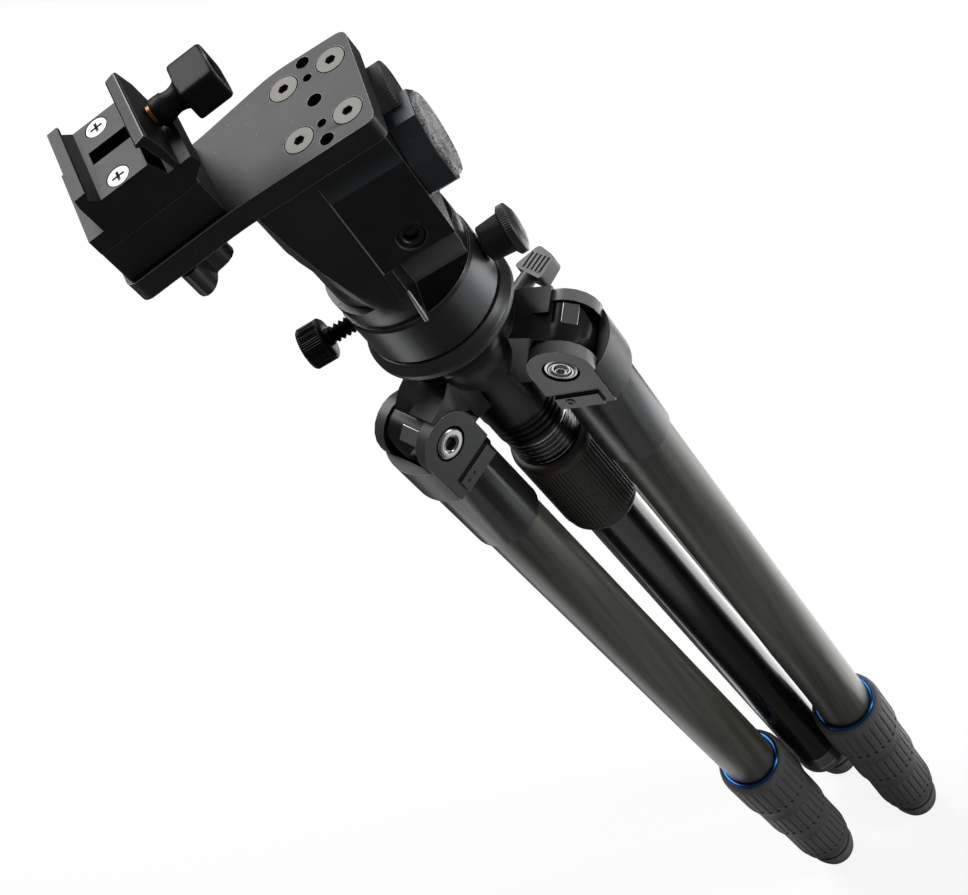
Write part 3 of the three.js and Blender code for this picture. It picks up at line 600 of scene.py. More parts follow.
def banded(name, fold_z, height):
    """The tilt block's finish: satin black, with a band of painted blue-grey reflection fading up from its
    fold (mm).
    """
    tree = Tree(bpy.data.materials.new(name))
    grain = speckle(tree, 1 / (0.35 * MM), 2.0)
    rise = (part_of(tree, place_on_piece(tree), 2) - fold_z * MM) * (1 / (height * MM))
    stops = [(0.0, 0.0), (0.36, 0.0), (0.44, 1.0), (0.62, 0.55), (1.0, 0.0)]
    reflection_band = tree.node("ShaderNodeValToRGB", {"stops": stops}, Fac=rise * 0.5 + 0.4)
    plain = shade(tree, *grey(0.046, 0.068, COOL), grain)
    # painted reflection: the block is paler and bluer in a band just above its fold
    colour = shade(tree, plain, (0.115, 0.135, 0.155), reflection_band)
    return surface(tree, Base_Color=colour, Roughness=0.34 + (grain - 0.5) * 0.08, Metallic=0.9,
                   Normal=relief(tree, grain, 0.02))


def stepped(name, step_y, floor_z, height, margin=0.3):
    """The pan body's finish: satin black, with a painted highlight on its step's upright face, most near its
    foot (mm).
    """
    tree = Tree(bpy.data.materials.new(name))
    grain = speckle(tree, 1 / (0.35 * MM), 2.0)
    place = place_on_piece(tree)
    y = part_of(tree, place, 1)
    rise = (part_of(tree, place, 2) - floor_z * MM) * (1 / (height * MM))
    step_highlight = (y > (step_y - margin) * MM) * (y < (step_y + margin) * MM) * (rise > 0.01)
    stops = [(0.0, 0.75), (0.25, 1.0), (0.7, 0.55), (1.0, 0.1)]
    fade = tree.node("ShaderNodeValToRGB", {"stops": stops}, Fac=rise)
    plain = shade(tree, *grey(0.056, 0.090, COOL), grain)
    # painted highlight: the step's face is drawn paler, standing for the light it reflects
    colour = shade(tree, plain, (0.17, 0.17, 0.165), step_highlight * fade)
    return surface(tree, Base_Color=colour, Roughness=0.35 + (grain - 0.5) * 0.1 + step_highlight * 0.25,
                   Metallic=0.92 - step_highlight * 0.72, Normal=relief(tree, grain, 0.03))


def rimmed(leg, rim_highlight):
    """A leg casting's finish: black paint, with a painted highlight of the given grey on its cheeks' round
    edge.

    The edge is where the distance from the pivot's axis, the root of length^2 - along^2, is the cheek's
    radius.
    """
    tree = Tree(bpy.data.materials.new(f"cast_black_{leg}"))
    fold = joints[f"leg_{leg}_fold"]
    grain = speckle(tree, 1 / (0.6 * MM), 2.0)
    origin, axis = tuple(fold["pos_m"]), tuple(fold["axis"])
    reach = tree.node("ShaderNodeVectorMath", {"operation": "SUBTRACT"}, _0=place_on_piece(tree), _1=origin)
    along = tree.node("ShaderNodeVectorMath", {"operation": "DOT_PRODUCT"}, 1, _0=reach, _1=axis)
    length = tree.node("ShaderNodeVectorMath", {"operation": "LENGTH"}, 1, _0=reach)
    radius = (length * length - along * along).power(0.5)
    # painted highlight: the round edge of the cheeks is drawn paler, standing for the light it catches
    round_edge = (radius > (CHEEK_R - 0.45) * MM) * (radius < (CHEEK_R + 0.3) * MM)
    rim = round_edge * (along * along > (CHEEK_IN * MM) ** 2) * (part_of(tree, reach, 2) > -4 * MM)
    colour = shade(tree, shade(tree, *grey(0.052, 0.084, COOL), grain), (rim_highlight, rim_highlight, rim_highlight), rim)
    return surface(tree, Base_Color=colour, Roughness=0.30 + (grain - 0.5) * 0.1 + rim * 0.12,
                   Metallic=0.85 - rim * 0.45, Normal=relief(tree, grain, 0.04))


FINISH["block"] = banded("block_anodised", BLOCK_FOLD_Z, 7.0)
FINISH["cradle"] = stepped("cradle_anodised", STEP_Y, SHOULDER_Z, 14.0)
# painted highlight on the cheek rims, paler on legs b and c, where the light falls more, than on leg a
for leg, rim_highlight in zip(LEGS, (0.12, 0.30, 0.24)):
    FINISH[f"cast_{leg}"] = rimmed(leg, rim_highlight)
print(len(FINISH), "finishes in all")

# %% [markdown]
# ## Machined pieces
#
# The plate, the blocks, the castings and the clamp have the right shape in the model, but every machined
# edge is broken by a small chamfer that catches the light. Each is copied, its flat faces are made whole
# again, and a Bevel modifier breaks its edges. The bevel has a paler finish of its own, which paints a
# highlight along each edge.

# %% Standing for a node of the model
def carry(obj, node, finish=None):
    """The piece takes its finish, stands for the node and moves with its body."""
    if finish:
        obj.data.materials.append(FINISH[finish])
    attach(obj, body_of_node[node])
    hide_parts(node)


def machined(node, finish, edge, rim=None, segments=3, sharp_above=32):
    """A copy of a node with whole flat faces, and edges broken by a bevel (mm) in the rim's painted
    highlight.
    """
    shape = bmesh.new()
    shape.from_mesh(frame["nodes"][node].data)
    bmesh.ops.remove_doubles(shape, verts=shape.verts, dist=0.004 * MM)
    bmesh.ops.dissolve_degenerate(shape, edges=shape.edges, dist=0.004 * MM)
    bmesh.ops.dissolve_limit(shape, angle_limit=math.radians(0.6), verts=shape.verts, edges=shape.edges)
    mesh = bpy.data.meshes.new(node + "_finish")
    shape.to_mesh(mesh)
    shape.free()
    mesh.shade_smooth()
    mesh.set_sharp_from_angle(angle=math.radians(sharp_above))
    mesh.materials.append(FINISH[finish])
    mesh.materials.append(FINISH[rim or finish])
    obj = bpy.data.objects.new(node + "_finish", mesh)
    bpy.context.scene.collection.objects.link(obj)
    bevel = obj.modifiers.new("edges", "BEVEL")
    bevel.width = edge * MM
    bevel.segments = segments
    bevel.limit_method = "ANGLE"
    bevel.angle_limit = math.radians(sharp_above)
    bevel.harden_normals = True
    bevel.use_clamp_overlap = True
    bevel.material = 1
    carry(obj, node)


# %% Plate, blocks, castings and screws
# The fourth entry is the bevel's finish, a paler grey that paints a highlight along the edges.
MACHINED = [
    ("arm_plate", "plate", 1.0, "bright_edge"), ("tilt_block", "block", 0.5, "bright_edge"),
    ("pan_body", "cradle", 0.6, "bright_edge"), ("riser_block", "clamp", 0.5, "soft_edge"),
    ("clamp_body", "clamp", 0.8, "soft_edge"), ("moving_jaw", "clamp", 0.6, "soft_edge"),
    ("side_knob", "blued", 1.2, "bright_edge"), ("swivel_lock_knob", "disc", 1.2, "soft_edge"),
    ("brass_washer", "brass", 0.2), ("hub_spider", "hub_cast", 0.7, "bright_edge"),
    ("hub_lock_knob", "wing", 0.6, "bright_edge"),
    *((f"plate_screw_{k}", "dark_steel", 0.25) for k in (1, 2, 3, 4)),
    *((f"floor_screw_{k}", "zinc", 0.2) for k in (1, 2))]
for leg in LEGS:
    MACHINED += [(f"leg_{leg}_yoke", f"cast_{leg}", 0.8, "worn_edge"),
                 (f"leg_{leg}_angle_tab", "tab", 0.7, "bright_edge")]
for row in MACHINED:
    machined(*row)
print(len(MACHINED), "machined pieces")

# %% [markdown]
# ## Legs
#
# A leg is made in its own frame: the pivot at the origin, Z up along the tubes and Y along the pivot. The
# fold joint and the first slide of each leg give that frame, so the same code makes all three.

# %% Leg frame and sizes
GAP = 0.3
TUBE_R = (16.0, 14.2, 12.4, 10.6)
TUBE_WALL = 1.2
TUBE_TOP = (-48.0, -54.0, -58.0, -62.0)
TUBE_END = (-413.0, -467.0, -510.0, -559.0)
RING_TOP, RING_END, RING_R = -405.0, -407.0, 18.7
GRIP_END = (-455.0, -498.5, -545.0)
GRIP_R = (21.7, 19.9, 18.2)
FOOT_R, LEG_LENGTH = 14.7, 578.0


def leg_place(leg):
    """Carries points from the leg's own frame (mm) to the model's (mm)."""
    fold, slide = joints[f"leg_{leg}_fold"], joints[f"leg_{leg}_extend_1"]
    up = -np.array(slide["axis"])
    across = -np.array(fold["axis"])
    origin = np.array(fold["pos_m"]) / MM
    basis = np.stack([np.cross(across, up), across, up])
    return lambda points: points @ basis + origin


def leg_piece(leg, name, node, finish, profile, **shape):
    """A turned piece of a leg, about the tubes' axis, that stands for a node of the model."""
    carry(turned_piece(f"leg_{leg}_{name}", profile, leg_place(leg), **shape), f"leg_{leg}_{node}", finish)


print("leg b's foot stands at", np.round(leg_place("b")(np.array([0.0, 0.0, -LEG_LENGTH])), 1).tolist())

# %% [markdown]
# ## Tubes and rings
#
# Four carbon tubes slide in one another, and a blue anodised ring closes the top of the first grip. Their
# outlines are plain walls with eased corners, because a real tube has no sharp edge anywhere.

# %% Tubes and rings
def tube_profile(i):
    """The wall of tube i, from its lower end to its upper one."""
    inside, end, top = TUBE_R[i] - TUBE_WALL, TUBE_END[i], TUBE_TOP[i]
    return eased([(inside, end), (TUBE_R[i], end), (TUBE_R[i], top), (inside, top)], 0.2)


def ring_profile():
    """A collar round the first tube, a little narrower at its top."""
    bore = TUBE_R[0] + GAP
    return eased([(bore, RING_END), (RING_R, RING_END), (RING_R, RING_END + 1.2), (RING_R - 0.8, RING_TOP),
                  (bore, RING_TOP)], 0.3)


def tubes_and_ring(leg):
    """The four tubes of a leg and the ring round the first."""
    for i in range(4):
        leg_piece(leg, f"tube_{i + 1}", f"section_{i + 1}", "carbon", tube_profile(i))
    leg_piece(leg, "ring", "blue_ring", "blue", ring_profile(), columns=128)


print("tubes of", TUBE_R, "mm radius and a ring of", RING_R)

# %% [markdown]
# ## Twist grips
#
# Each section is locked by turning a rubber grip. Shallow grooves run down it and end in small pits, and a
# smooth skirt with a rolled rim closes it. The grooves are a rule of the radius, and the depth they make is
# kept in the mesh, so that the finish can darken them where the light does not come.

# %% Outline of a grip
def grip_top(i):
    """Each grip ends just below the piece above it: the ring, or the grip before."""
    return (RING_END if i == 0 else GRIP_END[i - 1]) - GAP


def grip_profile(i):
    """Closed profile of twist grip i, with rows close together where its grooves start and end."""
    r, top, end = GRIP_R[i], grip_top(i), GRIP_END[i]
    skirt = [(r - 2.4, end), (r - 1.6, end + 0.3), (r - 1.1, end + 1.2), (r - 1.0, end + 2.4),
             (r - 1.3, end + 3.6), (r - 1.2, end + 5.0), (r - 0.6, end + 7.0), (r - 0.1, end + 9)]
    lip = [(r - 0.25, top - 4.4), (r - 0.9, top - 2), (r - 1.7, top - 0.6), (r - 2.5, top)]
    big, small, step = TUBE_R[i] + GAP, TUBE_R[i + 1] + GAP, TUBE_END[i] - GAP
    inside = [(big, top), (big, step), (small, step), (small, end)]
    return skirt + span(r, end + 11, top - 6.5, 40) + lip + inside


print("grip outlines of", [len(grip_profile(i)) for i in range(3)], "points")


# %% Grooves, and the grips
def grooved(top, end, r, count=26, depth=0.6, pit_depth=1.9):
    """Radius of a grip: a groove is cut where the angle is near the middle of its share of the circle.

    Both cuts fall off evenly from the middle, and the pit is one more cut near one height above the skirt.
    """
    def radius(t, own_r, z):
        aside = np.abs((t * count / (2 * math.pi)) % 1.0 - 0.5)
        groove = np.clip(1.5 - aside / 0.12, 0, 1)
        pit = np.clip(1.5 - aside / 0.16, 0, 1)
        low = end + 12.8
        along = np.clip((z - low - 3.2) / 1.0, 0, 1) * np.clip((top - 4.0 - z) / 1.5, 0, 1)
        at_pit = np.clip(1.6 - np.abs(z - low) / 1.2, 0, 1)
        return own_r - (own_r > r - 1.5) * (depth * groove * along + pit_depth * pit * at_pit)
    return radius


def under_the_rim(top, reach=2.6, gain=1.5):
    """Painted shade close below the rim of the piece above: extra depth, fading as e^(-distance / reach)."""
    return lambda r, z: gain * np.exp(-np.clip(top - z, 0, None) / reach)


def grips(leg):
    """The three grips of a leg; the second and third get painted shade just below the grip above them."""
    for i in range(3):
        cut = grooved(grip_top(i), GRIP_END[i], GRIP_R[i])
        shadow = under_the_rim(grip_top(i)) if i else None
        leg_piece(leg, f"grip_{i + 1}", f"twist_grip_{i + 1}", f"rubber_{i + 1}", grip_profile(i),
                  columns=312, radius=cut, shade_depth=shadow)


print("three grips a leg, of", GRIP_R, "mm radius")

# %% [markdown]
# ## Feet
#
# The foot is a rounded rubber plug with one turned groove near its top. Its sole is drawn with a few
# points, closer together where it curves most.

# %% Feet, and the three legs
FOOT_TOP = GRIP_END[2] - 3.2


def foot_profile():
    """Sole and side from the floor up, the groove from the top down, then the bore of the last tube."""
    bore, step, floor_z = TUBE_R[3] + GAP, TUBE_END[3] - GAP, -LEG_LENGTH
    sole = [(0.05, 0.0), (2.8, 0.15), (5.2, 0.6), (7.8, 2.2), (9.8, 4.5), (11.6, 7.2), (12.9, 10.0),
            (14.0, 14.2), (FOOT_R, 18.0)]
    groove = [(FOOT_R, 6.4), (FOOT_R - 0.3, 5.6), (FOOT_R - 1.5, 5.0), (FOOT_R - 1.5, 3.8),
              (FOOT_R - 0.3, 3.2), (FOOT_R, 2.0), (FOOT_R - 0.5, 0.6), (FOOT_R - 1.6, 0.0)]
    return ([(r, floor_z + rise) for r, rise in sole] + [(r, FOOT_TOP - fall) for r, fall in groove]
            + [(bore, FOOT_TOP), (bore, step), (0.05, step)])


def groove_between(low, high, depth=1.6):
    """Extra depth, darkened as painted shade, inside a turned groove between two heights."""
    return lambda r, z: depth * ((z > low) & (z < high))


for leg in LEGS:
    tubes_and_ring(leg)
    grips(leg)
    # painted shade: the foot's turned groove is darkened
    leg_piece(leg, "pad", "foot", "foot_rubber", foot_profile(),
              shade_depth=groove_between(FOOT_TOP - 6.0, FOOT_TOP - 2.8))
print("feet", round(FOOT_TOP + LEG_LENGTH, 1), "mm tall")

# %% [markdown]
# ## Pivot bolts and small fittings
#
# A leg swings on a bolt with a hexagon socket at one end and a hexagon nut at the other. The shoulder and
# the tab below it carry a small screw and two small holes; each hole is a dark disc, painted shade. A
# hexagon is a circle whose radius shrinks between its corners, so a bolt is still one turned piece, and the
# small fittings are riders: they stand for no node and only move with a body.

# %% Pivot bolts, shoulder screws and marks
def hexagon(low, high, inner, outer):
    """Radius times cos 30 / cos(angle from the middle of the side), between two radii and two heights."""
    def radius(t, r, z):
        aside = (t % (math.pi / 3)) - math.pi / 6
        inside = (r > inner) & (r < outer) & (z > low) & (z < high)
        return np.where(inside, r * math.cos(math.pi / 6) / np.cos(aside), r)
    return radius


def both(first, second):
    """One rule after another, for the radius."""
    return lambda t, r, z: first(t, second(t, r, z), z)


def in_turn(first, second):
    """One place after another, for points."""
    return lambda points: second(first(points))


def rider(obj, finish, body):
    """A visible fitting that moves with a body and stands for no node of its own."""
    obj.data.materials.append(FINISH[finish])
    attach(obj, body)


BOLT = [(0.05, -15.4), (1.5, -15.4), (1.6, -16.9), (2.6, -17.1), (3.0, -16.5), (3.4, -16.0), (4.3, -16.0),
        (4.9, -16.7), (5.7, -16.8), (6.2, -16.3), (7.4, -16.2), (8.1, -15.9), (8.2, -14.0), (5.0, -14.0),
        (5.0, 14.0), (7.6, 14.0), (7.6, 16.4), (7.3, 17.1), (6.6, 17.5), (4.5, 17.6), (3.9, 17.4),
        (3.6, 17.0), (3.5, 14.6), (0.05, 14.2)]
BOLT_HEXAGONS = both(hexagon(-16.4, -13.9, 7.3, 8.3), hexagon(14.4, 17.2, 3.4, 3.65))
SHOULDER_SCREW = [(0.05, 16.9), (2.3, 16.9), (2.3, 18.5), (2.1, 18.75), (1.3, 18.8), (0.9, 18.4),
                  (0.85, 17.7), (0.05, 17.6)]
MARK = [(0.05, 17.5), (0.95, 17.5), (0.95, 18.34), (0.05, 18.34)]
MARKS_AT = (1.8, 5.9)
for leg in LEGS:
    on_leg = leg_place(leg)
    # painted shade: a band of the bolt between 14 and 16.2 mm is darkened
    bolt = turned_piece(f"leg_{leg}_bolt", eased(BOLT, 0.12, 2), in_turn(about((0, 1, 0), (0, 0, 0)), on_leg),
                        radius=BOLT_HEXAGONS, shade_depth=groove_between(14.0, 16.2))
    carry(bolt, f"leg_{leg}_pivot_bolt", "bright_steel")
    on_shoulder = in_turn(about((0, -1, 0), (-5.5, 0, -22.6)), on_leg)
    screw = turned_piece(f"leg_{leg}_shoulder_screw", SHOULDER_SCREW, on_shoulder, 48)
    rider(screw, "dark_steel", f"leg_{leg}")
    for k, across in enumerate(MARKS_AT):
        on_tab = in_turn(about((0, 1, 0), (across, 0, -23.0)), on_leg)
        # each mark is a dark disc standing for a small hole: painted shade
        mark = turned_piece(f"leg_{leg}_pad_hole_{k + 1}", MARK, on_tab, 32)
        rider(mark, "hole", f"leg_{leg}")
print("bolts", 17.6 + 17.1, "mm long, a screw and", len(MARKS_AT), "marks a leg")

# %% [markdown]
# ## Keys in the hub's arms
#
# Between the cheeks of each leg, the tongue of the hub's arm has a bright steel key let into it. It is a
# plain block, so it is made from its eight corners, and a Bevel modifier breaks its edges.

# %% Hub keys
KEY_SIZE, KEY_RISE, KEY_REACH, KEY_ASIDE = (7.6, 11.0, 2.4), math.radians(58), 13.15, 4.6


def block(name, size, place, edge):
    """A box of the given size (mm) about the origin, carried by place, with broken edges."""
    corners = np.array([[x, y, z] for z in (-1, 1) for y in (-1, 1) for x in (-1, 1)]) * np.array(size) / 2
    faces = np.array([[0, 2, 3, 1], [4, 5, 7, 6], [0, 1, 5, 4], [2, 6, 7, 3], [0, 4, 6, 2], [1, 3, 7, 5]])
    obj = piece(name, place(corners), [faces])
    bevel = obj.modifiers.new("edges", "BEVEL")
    bevel.width = edge * MM
    bevel.segments = 3
    bevel.harden_normals = True
    return obj


def on_arm(points):
    """The key lies square to a line that rises from the pivot at KEY_RISE, a little to one side."""
    normal = np.array([math.cos(KEY_RISE), 0.0, math.sin(KEY_RISE)])
    side = np.array([0.0, 1.0, 0.0])
    return points @ np.stack([np.cross(side, normal), side, normal]) + normal * KEY_REACH + side * KEY_ASIDE


for leg in LEGS:
    key = block(f"hub_key_{leg}", KEY_SIZE, in_turn(on_arm, leg_place(leg)), 0.5)
    rider(key, "bright_steel", "hub")
print("three keys of", KEY_SIZE, "mm")

# %% [markdown]
# ## Column, collar, disc and neck
#
# These are all turned about the upright axis, so each is one closed profile. Ribs take a little off the
# radius as the angle goes round; a thread takes it off along a helix, where height and angle rise together.

# %% Ribs and threads
def ridges(count, depth, low, high, above):
    """Radius less a wave that rises and falls evenly, count times a turn, between two heights."""
    def radius(t, r, z):
        wave = np.abs((t * count / (2 * math.pi)) % 1.0 - 0.5) * 2
        zone = np.clip((z - low) / 0.4, 0, 1) * np.clip((high - z) / 0.4, 0, 1) * (r > above)
        return r - depth * zone * wave
    return radius


def thread(pitch, depth, low, high, above):
    """Radius less a wave of height / pitch minus turns, so that the ridge rises by one pitch each turn."""
    def radius(t, r, z):
        wave = np.abs((z / pitch - t / (2 * math.pi)) % 1.0 - 0.5) * 2
        zone = np.clip((z - low) / pitch, 0, 1) * np.clip((high - z) / pitch, 0, 1) * (r > above)
        return r - depth * zone * wave
    return radius


def turned_node(node, finish, profile, place=None, columns=128, radius=None, smooth_below=38):
    """A turned piece that stands for a node of the model."""
    carry(turned_piece(node + "_finish", profile, place, columns, radius, smooth_below), node, finish)


print("between two ribs of 0.5 mm, 20 mm becomes", float(ridges(64, 0.5, 0, 9, 1)(0.0, 20.0, 5.0)))

# %% Column and end cap
COLUMN_R, COLUMN_WALL = 15.24, 1.8
COLUMN_END, CAP_END = PIVOT - 459.5, PIVOT - 482
CAP_PLUG_R = 13.1
PLATFORM_R, PLATFORM_TOP, PLATFORM_THICK = 31, DISC_Z - GAP, 5.5
turned_node("centre_column", "gloss", eased([
    (COLUMN_R - COLUMN_WALL, COLUMN_END), (COLUMN_R, COLUMN_END), (COLUMN_R, PLATFORM_TOP - PLATFORM_THICK),
    (PLATFORM_R, PLATFORM_TOP - PLATFORM_THICK), (PLATFORM_R, PLATFORM_TOP),
    (COLUMN_R - COLUMN_WALL, PLATFORM_TOP)], 0.3))
turned_node("column_end_cap", "bright_steel", eased([
    (0.05, CAP_END), (COLUMN_R - 2.6, CAP_END), (COLUMN_R - 0.5, CAP_END + 2), (COLUMN_R, CAP_END + 5),
    (COLUMN_R, CAP_END + 9), (COLUMN_R - 0.6, CAP_END + 9.6), (COLUMN_R, CAP_END + 10.2),
    (COLUMN_R, COLUMN_END - GAP), (CAP_PLUG_R, COLUMN_END - GAP), (CAP_PLUG_R, COLUMN_END + 12),
    (0.05, COLUMN_END + 12)], 0.3))
print("column", round(PLATFORM_TOP - COLUMN_END, 1), "mm long")

# %% Collar and disc
COLUMN_BORE, NUT_BORE, DISC_R, DISC_TOP = 15.64, 17.7, 36.2, DISC_Z + 12
THREAD_END = PIVOT - 89.6
COLLAR_TOP, COLLAR_END, COLLAR_R = PIVOT - 71.6, PIVOT - 137, 20.9
turned_node("column_collar", "brown_grip", [
    (COLUMN_BORE, COLLAR_END), (COLLAR_R - 2.8, COLLAR_END), (COLLAR_R - 2.0, COLLAR_END + 0.8),
    (COLLAR_R - 0.9, COLLAR_END + 3), *span(COLLAR_R - 0.8, COLLAR_END + 4, COLLAR_END + 6, 4),
    *span(COLLAR_R, COLLAR_END + 8, COLLAR_TOP - 8, 30), *span(COLLAR_R, COLLAR_TOP - 7, COLLAR_TOP - 3, 5),
    (COLLAR_R - 0.6, COLLAR_TOP - 0.8), (COLLAR_R - 1.6, COLLAR_TOP), (NUT_BORE, COLLAR_TOP),
    (NUT_BORE, THREAD_END - GAP), (COLUMN_BORE, THREAD_END - GAP)], None, 384,
    ridges(64, 0.5, COLLAR_END + 6, COLLAR_TOP - 6, COLLAR_R - 0.5), 60)
turned_node("head_base_disc", "disc", eased([
    (0.05, DISC_Z), (DISC_R - 3.2, DISC_Z), (DISC_R, DISC_Z + 3.5), (DISC_R, DISC_Z + 6.6),
    (DISC_R - 0.5, DISC_Z + 7.2), (DISC_R - 1.3, DISC_Z + 9.4), (DISC_R - 2.5, DISC_TOP), (0.05, DISC_TOP)],
    0.5), None, 192)
print("collar", round(COLLAR_TOP - COLLAR_END, 1), "mm long, disc", 2 * DISC_R, "mm across")

# %% Neck and thread under the hub
HOUSING_END, THREAD_TOP = PIVOT - 36, PIVOT - 53
RING_STEP = 4.1
neck = [(16.6, THREAD_TOP + 0.1), (17.6, THREAD_TOP + 0.3)]
for low in np.arange(THREAD_TOP + 1.2, HOUSING_END - 3.4, RING_STEP):
    neck += [(17.7, low), (18.3, low + 0.3), (18.3, low + 2.1), (17.7, low + 2.5), (17.0, low + 2.8),
             (17.0, low + 3.6)]
neck += [(17.6, HOUSING_END - 1.4), (18.4, HOUSING_END - 0.4), (18.4, HOUSING_END + 1.6),
         (16.6, HOUSING_END + 1.6)]
rider(turned_piece("hub_neck", neck, None, 160), "hub_cast", "hub")
screwed = [(16.8, THREAD_END + 0.2), *span(17.6, THREAD_END + 0.4, THREAD_TOP - 0.6, 220),
           (16.8, THREAD_TOP - 0.3)]
helix = thread(3.4, 1.0, THREAD_END + 1, THREAD_TOP - 1, 17.5)
rider(turned_piece("hub_thread", screwed, None, 160, helix, 75), "bright_steel", "hub")
print("neck of", len(neck), "points and a thread", round(THREAD_TOP - THREAD_END, 1), "mm long")

# %% [markdown]
# ## Thumb knobs of the head
#
# The mushroom knob sets the drag, and the black knob on the other side locks the panning. Both are turned
# about a level axis, with a knurled rim, and the lock knob's stem shows its thread.

# %% Thumb knobs
KNOB_Z = joints["drag_knob_turn"]["pos_m"][2] / MM
STEM_R = 4.3
turned_node("mushroom_knob", "knob_cast", [
    (0.05, 28), *span(STEM_R, 28.2, 33.6, 3), (8.0, 33.8), (8.4, 34.2), (9.3, 44.5), (10.6, 45.2),
    (11.7, 46.0), *span(11.8, 46.3, 49.0, 10), (11.4, 49.5), (8, 51), (4, 51.5), (0.05, 51.6)],
    about((1, 0, 0), (0, 0, KNOB_Z)), 320, ridges(64, 0.45, 45.9, 49.3, 11.6), 60)
turned_node("pan_lock_knob", "knob_black", [
    (0.05, 28), (STEM_R - 0.6, 28.0), *span(STEM_R, 28.4, 45.8, 120), (STEM_R, 46.2), (8.9, 46.2),
    (9.6, 46.8), *span(10, 47.2, 57, 14), (9.4, 57.7), (8.4, 58), (7.2, 57.6), (0.05, 57.6)],
    about((-1, 0, 0), (0, 0, KNOB_Z)), 320,
    both(ridges(56, 0.5, 47.0, 57.2, 9.9), thread(2.6, 1.5, 28.6, 46.0, STEM_R - 0.1)), 60)
print("thumb knobs at", round(KNOB_Z, 1), "mm")

# %% [markdown]
# ## Cap screw of the tilt block
#
# A cap screw sits deep in a counterbore of the tilt block, and the lip round it is a pale ring, a painted
# highlight on the bore's rim. The bore leans, so the screw and the lip are turned about the bore's own line.

# %% Cap screw and lip
FACE_LEAN = 0.22   # how far the bore and the cheek's front edge lean, in radians
bore_axis = np.array([0.0, -math.cos(FACE_LEAN), math.sin(FACE_LEAN)])
seat = np.array([18.0, -27.0, TILT_Z - 16.8]) - 9 * bore_axis
rider(turned_piece("counterbore_screw", eased([
    (0.05, -0.2), (6.1, -0.2), (6.1, 6.6), (5.6, 7.4), (4.1, 7.4), (3.5, 6.8), (3.3, 3.4), (0.05, 3.2)],
    0.25),
    about(bore_axis, seat), 96, hexagon(3.3, 6.6, 3.2, 3.6)), "anodised", "tilt")
# painted highlight: a pale zinc ring on the counterbore's rim
rider(turned_piece("counterbore_lip", [
    (6.4, 6.6), (6.9, 6.9), (7.1, 7.6), (6.8, 8.1), (6.3, 7.8), (6.2, 7.0)], about(bore_axis, seat), 96),
    "zinc", "tilt")
print("cap screw seated at", np.round(seat, 1).tolist())

# %% [markdown]
# ## Beads on the cheek
#
# The front edge of the head's cheek shows a thin bright line, a painted highlight drawn as a thin pale rod,
# and below it a rounded bead runs down the outer edge of the cradle's web, its pale finish a painted
# highlight too. Each bead is a rod with round ends, turned about the line between its two points.

# %% Beads
EDGE_X, FRONT_Y, EDGE_RISE = -0.7, -22.4, (-29.0, 21.0)


def bead(name, start, end, low_r, high_r):
    """A rod from one point to another (mm) with a quarter circle (r sin a, -r cos a) turned at each end."""
    start, end = np.array(start), np.array(end)
    length = np.linalg.norm(end - start)
    angle = np.linspace(0.03, math.pi / 2, 8)
    low = np.stack([low_r * np.sin(angle), -low_r * np.cos(angle)], -1)
    high = np.stack([high_r * np.cos(angle - 0.03), length + high_r * np.sin(angle - 0.03)], -1)
    return turned_piece(name, np.concatenate([low, high]), about(end - start, start), 32)


# painted highlights: both beads are pale, standing for light caught by the cheek's edge and the web's rounded
# edge
foot_bead = bead("web_bead", (1.4, -32.0, SHOULDER_Z - 2.4), (3.2, -31.6, SHOULDER_Z + 15.5), 1.3, 0.7)
rider(foot_bead, "bright_edge", "pan")
edge_ends = [(EDGE_X, FRONT_Y - 0.1 + rise * math.tan(FACE_LEAN), TILT_Z + rise) for rise in EDGE_RISE]
rider(bead("cheek_edge_highlight", *edge_ends, 0.4, 0.4), "bright_edge", "pan")
print("bright edge from", np.round(edge_ends, 1).tolist())

# %% [markdown]
# ## Face and lobe of the side knob
#
# The side knob is a casting with a coarse sparkling face inside a raised rim, and a knurled lobe for the
# thumb.

# %% Side knob's face and lobe
LOBE_Y, LOBE_Z, LOBE_R = 14.4, 17.8, 13.0
rider(turned_piece("side_knob_face", [
    (0.05, 47.4), (16.2, 47.4), (16.7, 47.7), (17.3, 48.0), (18.1, 48.0), (18.6, 47.4), (18.7, 45.6),
    (0.05, 45.6)], about((1, 0, 0), (0, 0, TILT_Z)), 128), "speckled", "side_knob")
rider(turned_piece("side_knob_lobe", [
    (LOBE_R - 1.0, 33.9), *span(LOBE_R + 0.3, 34.3, 41.6, 4), (LOBE_R - 0.6, 42.2), (LOBE_R - 2.0, 42.2),
    (LOBE_R - 2.0, 33.9)], about((1, 0, 0), (0, LOBE_Y, TILT_Z + LOBE_Z)), 360,
    ridges(72, 0.4, 34.2, 41.4, LOBE_R + 0.1), 60), "wing", "side_knob")
print("lobe", 2 * LOBE_R, "mm across")

# %% [markdown]
# ## Clamp knob
#
# The knob that closes the clamp is a waisted stem that opens into a rounded oblong block. It is still one
# turned profile: from an inner radius outwards the circle is spread into a superellipse, which is round at
# its corners and nearly flat along its sides.

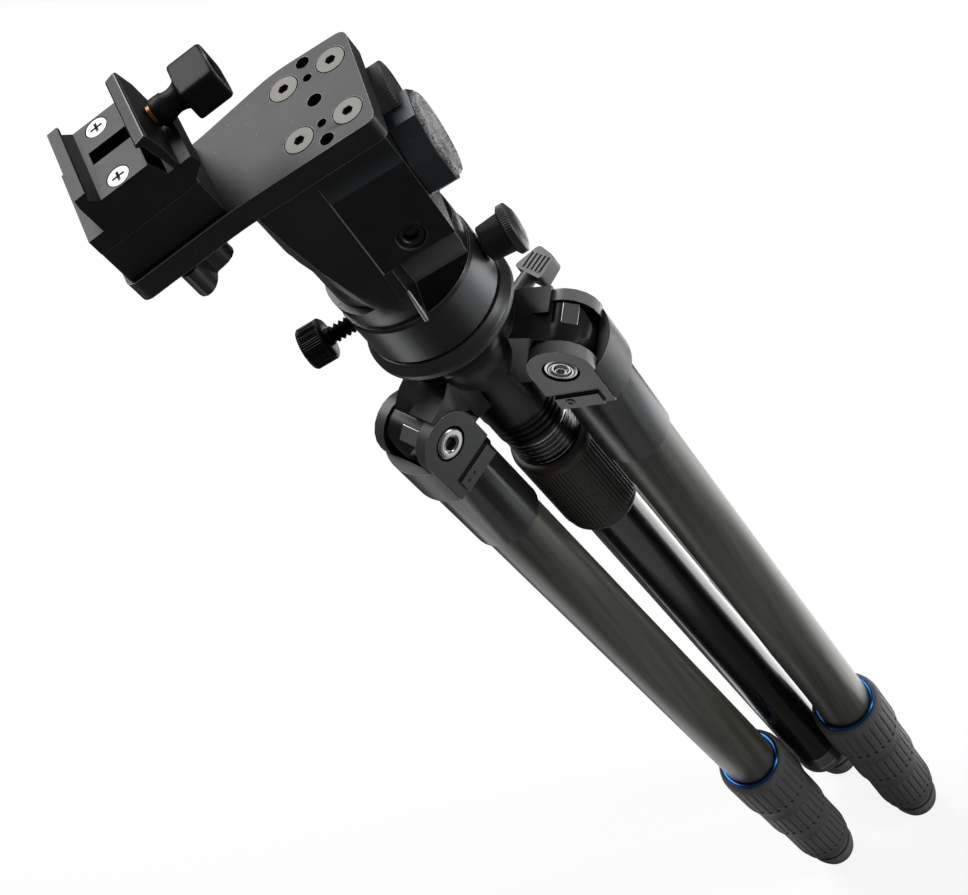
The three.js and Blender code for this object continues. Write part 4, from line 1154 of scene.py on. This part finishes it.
# %% Clamp knob
BLOCK_HALF, BLOCK_SHARPNESS, STEM_TO_BLOCK_R, BLOCK_START = (11.2, 7.6), 9.0, 5.8, 36.0
WASHER_END, SCREW_R, SCREW_REACH = 24.7, 1.8, 45.0


def oblong(t, r, z):
    """Radius moved towards (|cos t / a|^n + |sin t / b|^n)^(-1/n) in proportion to how far out it lies."""
    half_x, half_y = BLOCK_HALF
    n = BLOCK_SHARPNESS
    outline = ((np.abs(np.cos(t)) / half_x) ** n + (np.abs(np.sin(t)) / half_y) ** n) ** (-1 / n)
    spread = np.clip((r - STEM_TO_BLOCK_R) / (half_x - STEM_TO_BLOCK_R), 0, None)
    in_block = (z > BLOCK_START) & (r > STEM_TO_BLOCK_R)
    return np.where(in_block, STEM_TO_BLOCK_R + spread * (outline - STEM_TO_BLOCK_R), r)


clamp_screw = joints["clamp_knob_turn"]
screw_axis = np.array(clamp_screw["axis"])
on_screw = about(screw_axis, np.array(clamp_screw["pos_m"]) / MM - SCREW_REACH * screw_axis)
turned_node("clamp_knob", "knob_grey", [
    (0.05, 14.0), (SCREW_R, 14.0), (SCREW_R, WASHER_END), (5.7, WASHER_END), (6.0, WASHER_END + 0.4),
    (6.0, WASHER_END + 3.2), (5.8, WASHER_END + 4.6), (5.2, 31.0), (4.95, 33.0), (5.3, 35.0), (6.0, 36.4),
    (7.0, 36.9), (8.8, 37.1), (10.4, 37.4), (11.0, 37.9), (11.2, 38.8), *span(11.2, 40, 50, 5), (11.2, 51.4),
    (11.0, 52.2), (10.4, 52.7), (9.4, 52.9), (6.6, 52.9), (6.0, 52.6), (5.7, 51.9), (5.6, 50.9), (5.2, 50.6),
    (0.05, 50.6)], on_screw, 256, oblong)
# painted highlight: a thin pale ring on the knob's top edge
rider(turned_piece("clamp_knob_rim", [
    (9.7, 52.7), (10.5, 52.5), (10.8, 52.6), (10.6, 52.85), (9.8, 53.05), (9.5, 52.95)],
    on_screw, 256, oblong), "worn_edge", body_of_node["clamp_knob"])
print("clamp knob", 2 * BLOCK_HALF[0], "by", 2 * BLOCK_HALF[1], "mm")
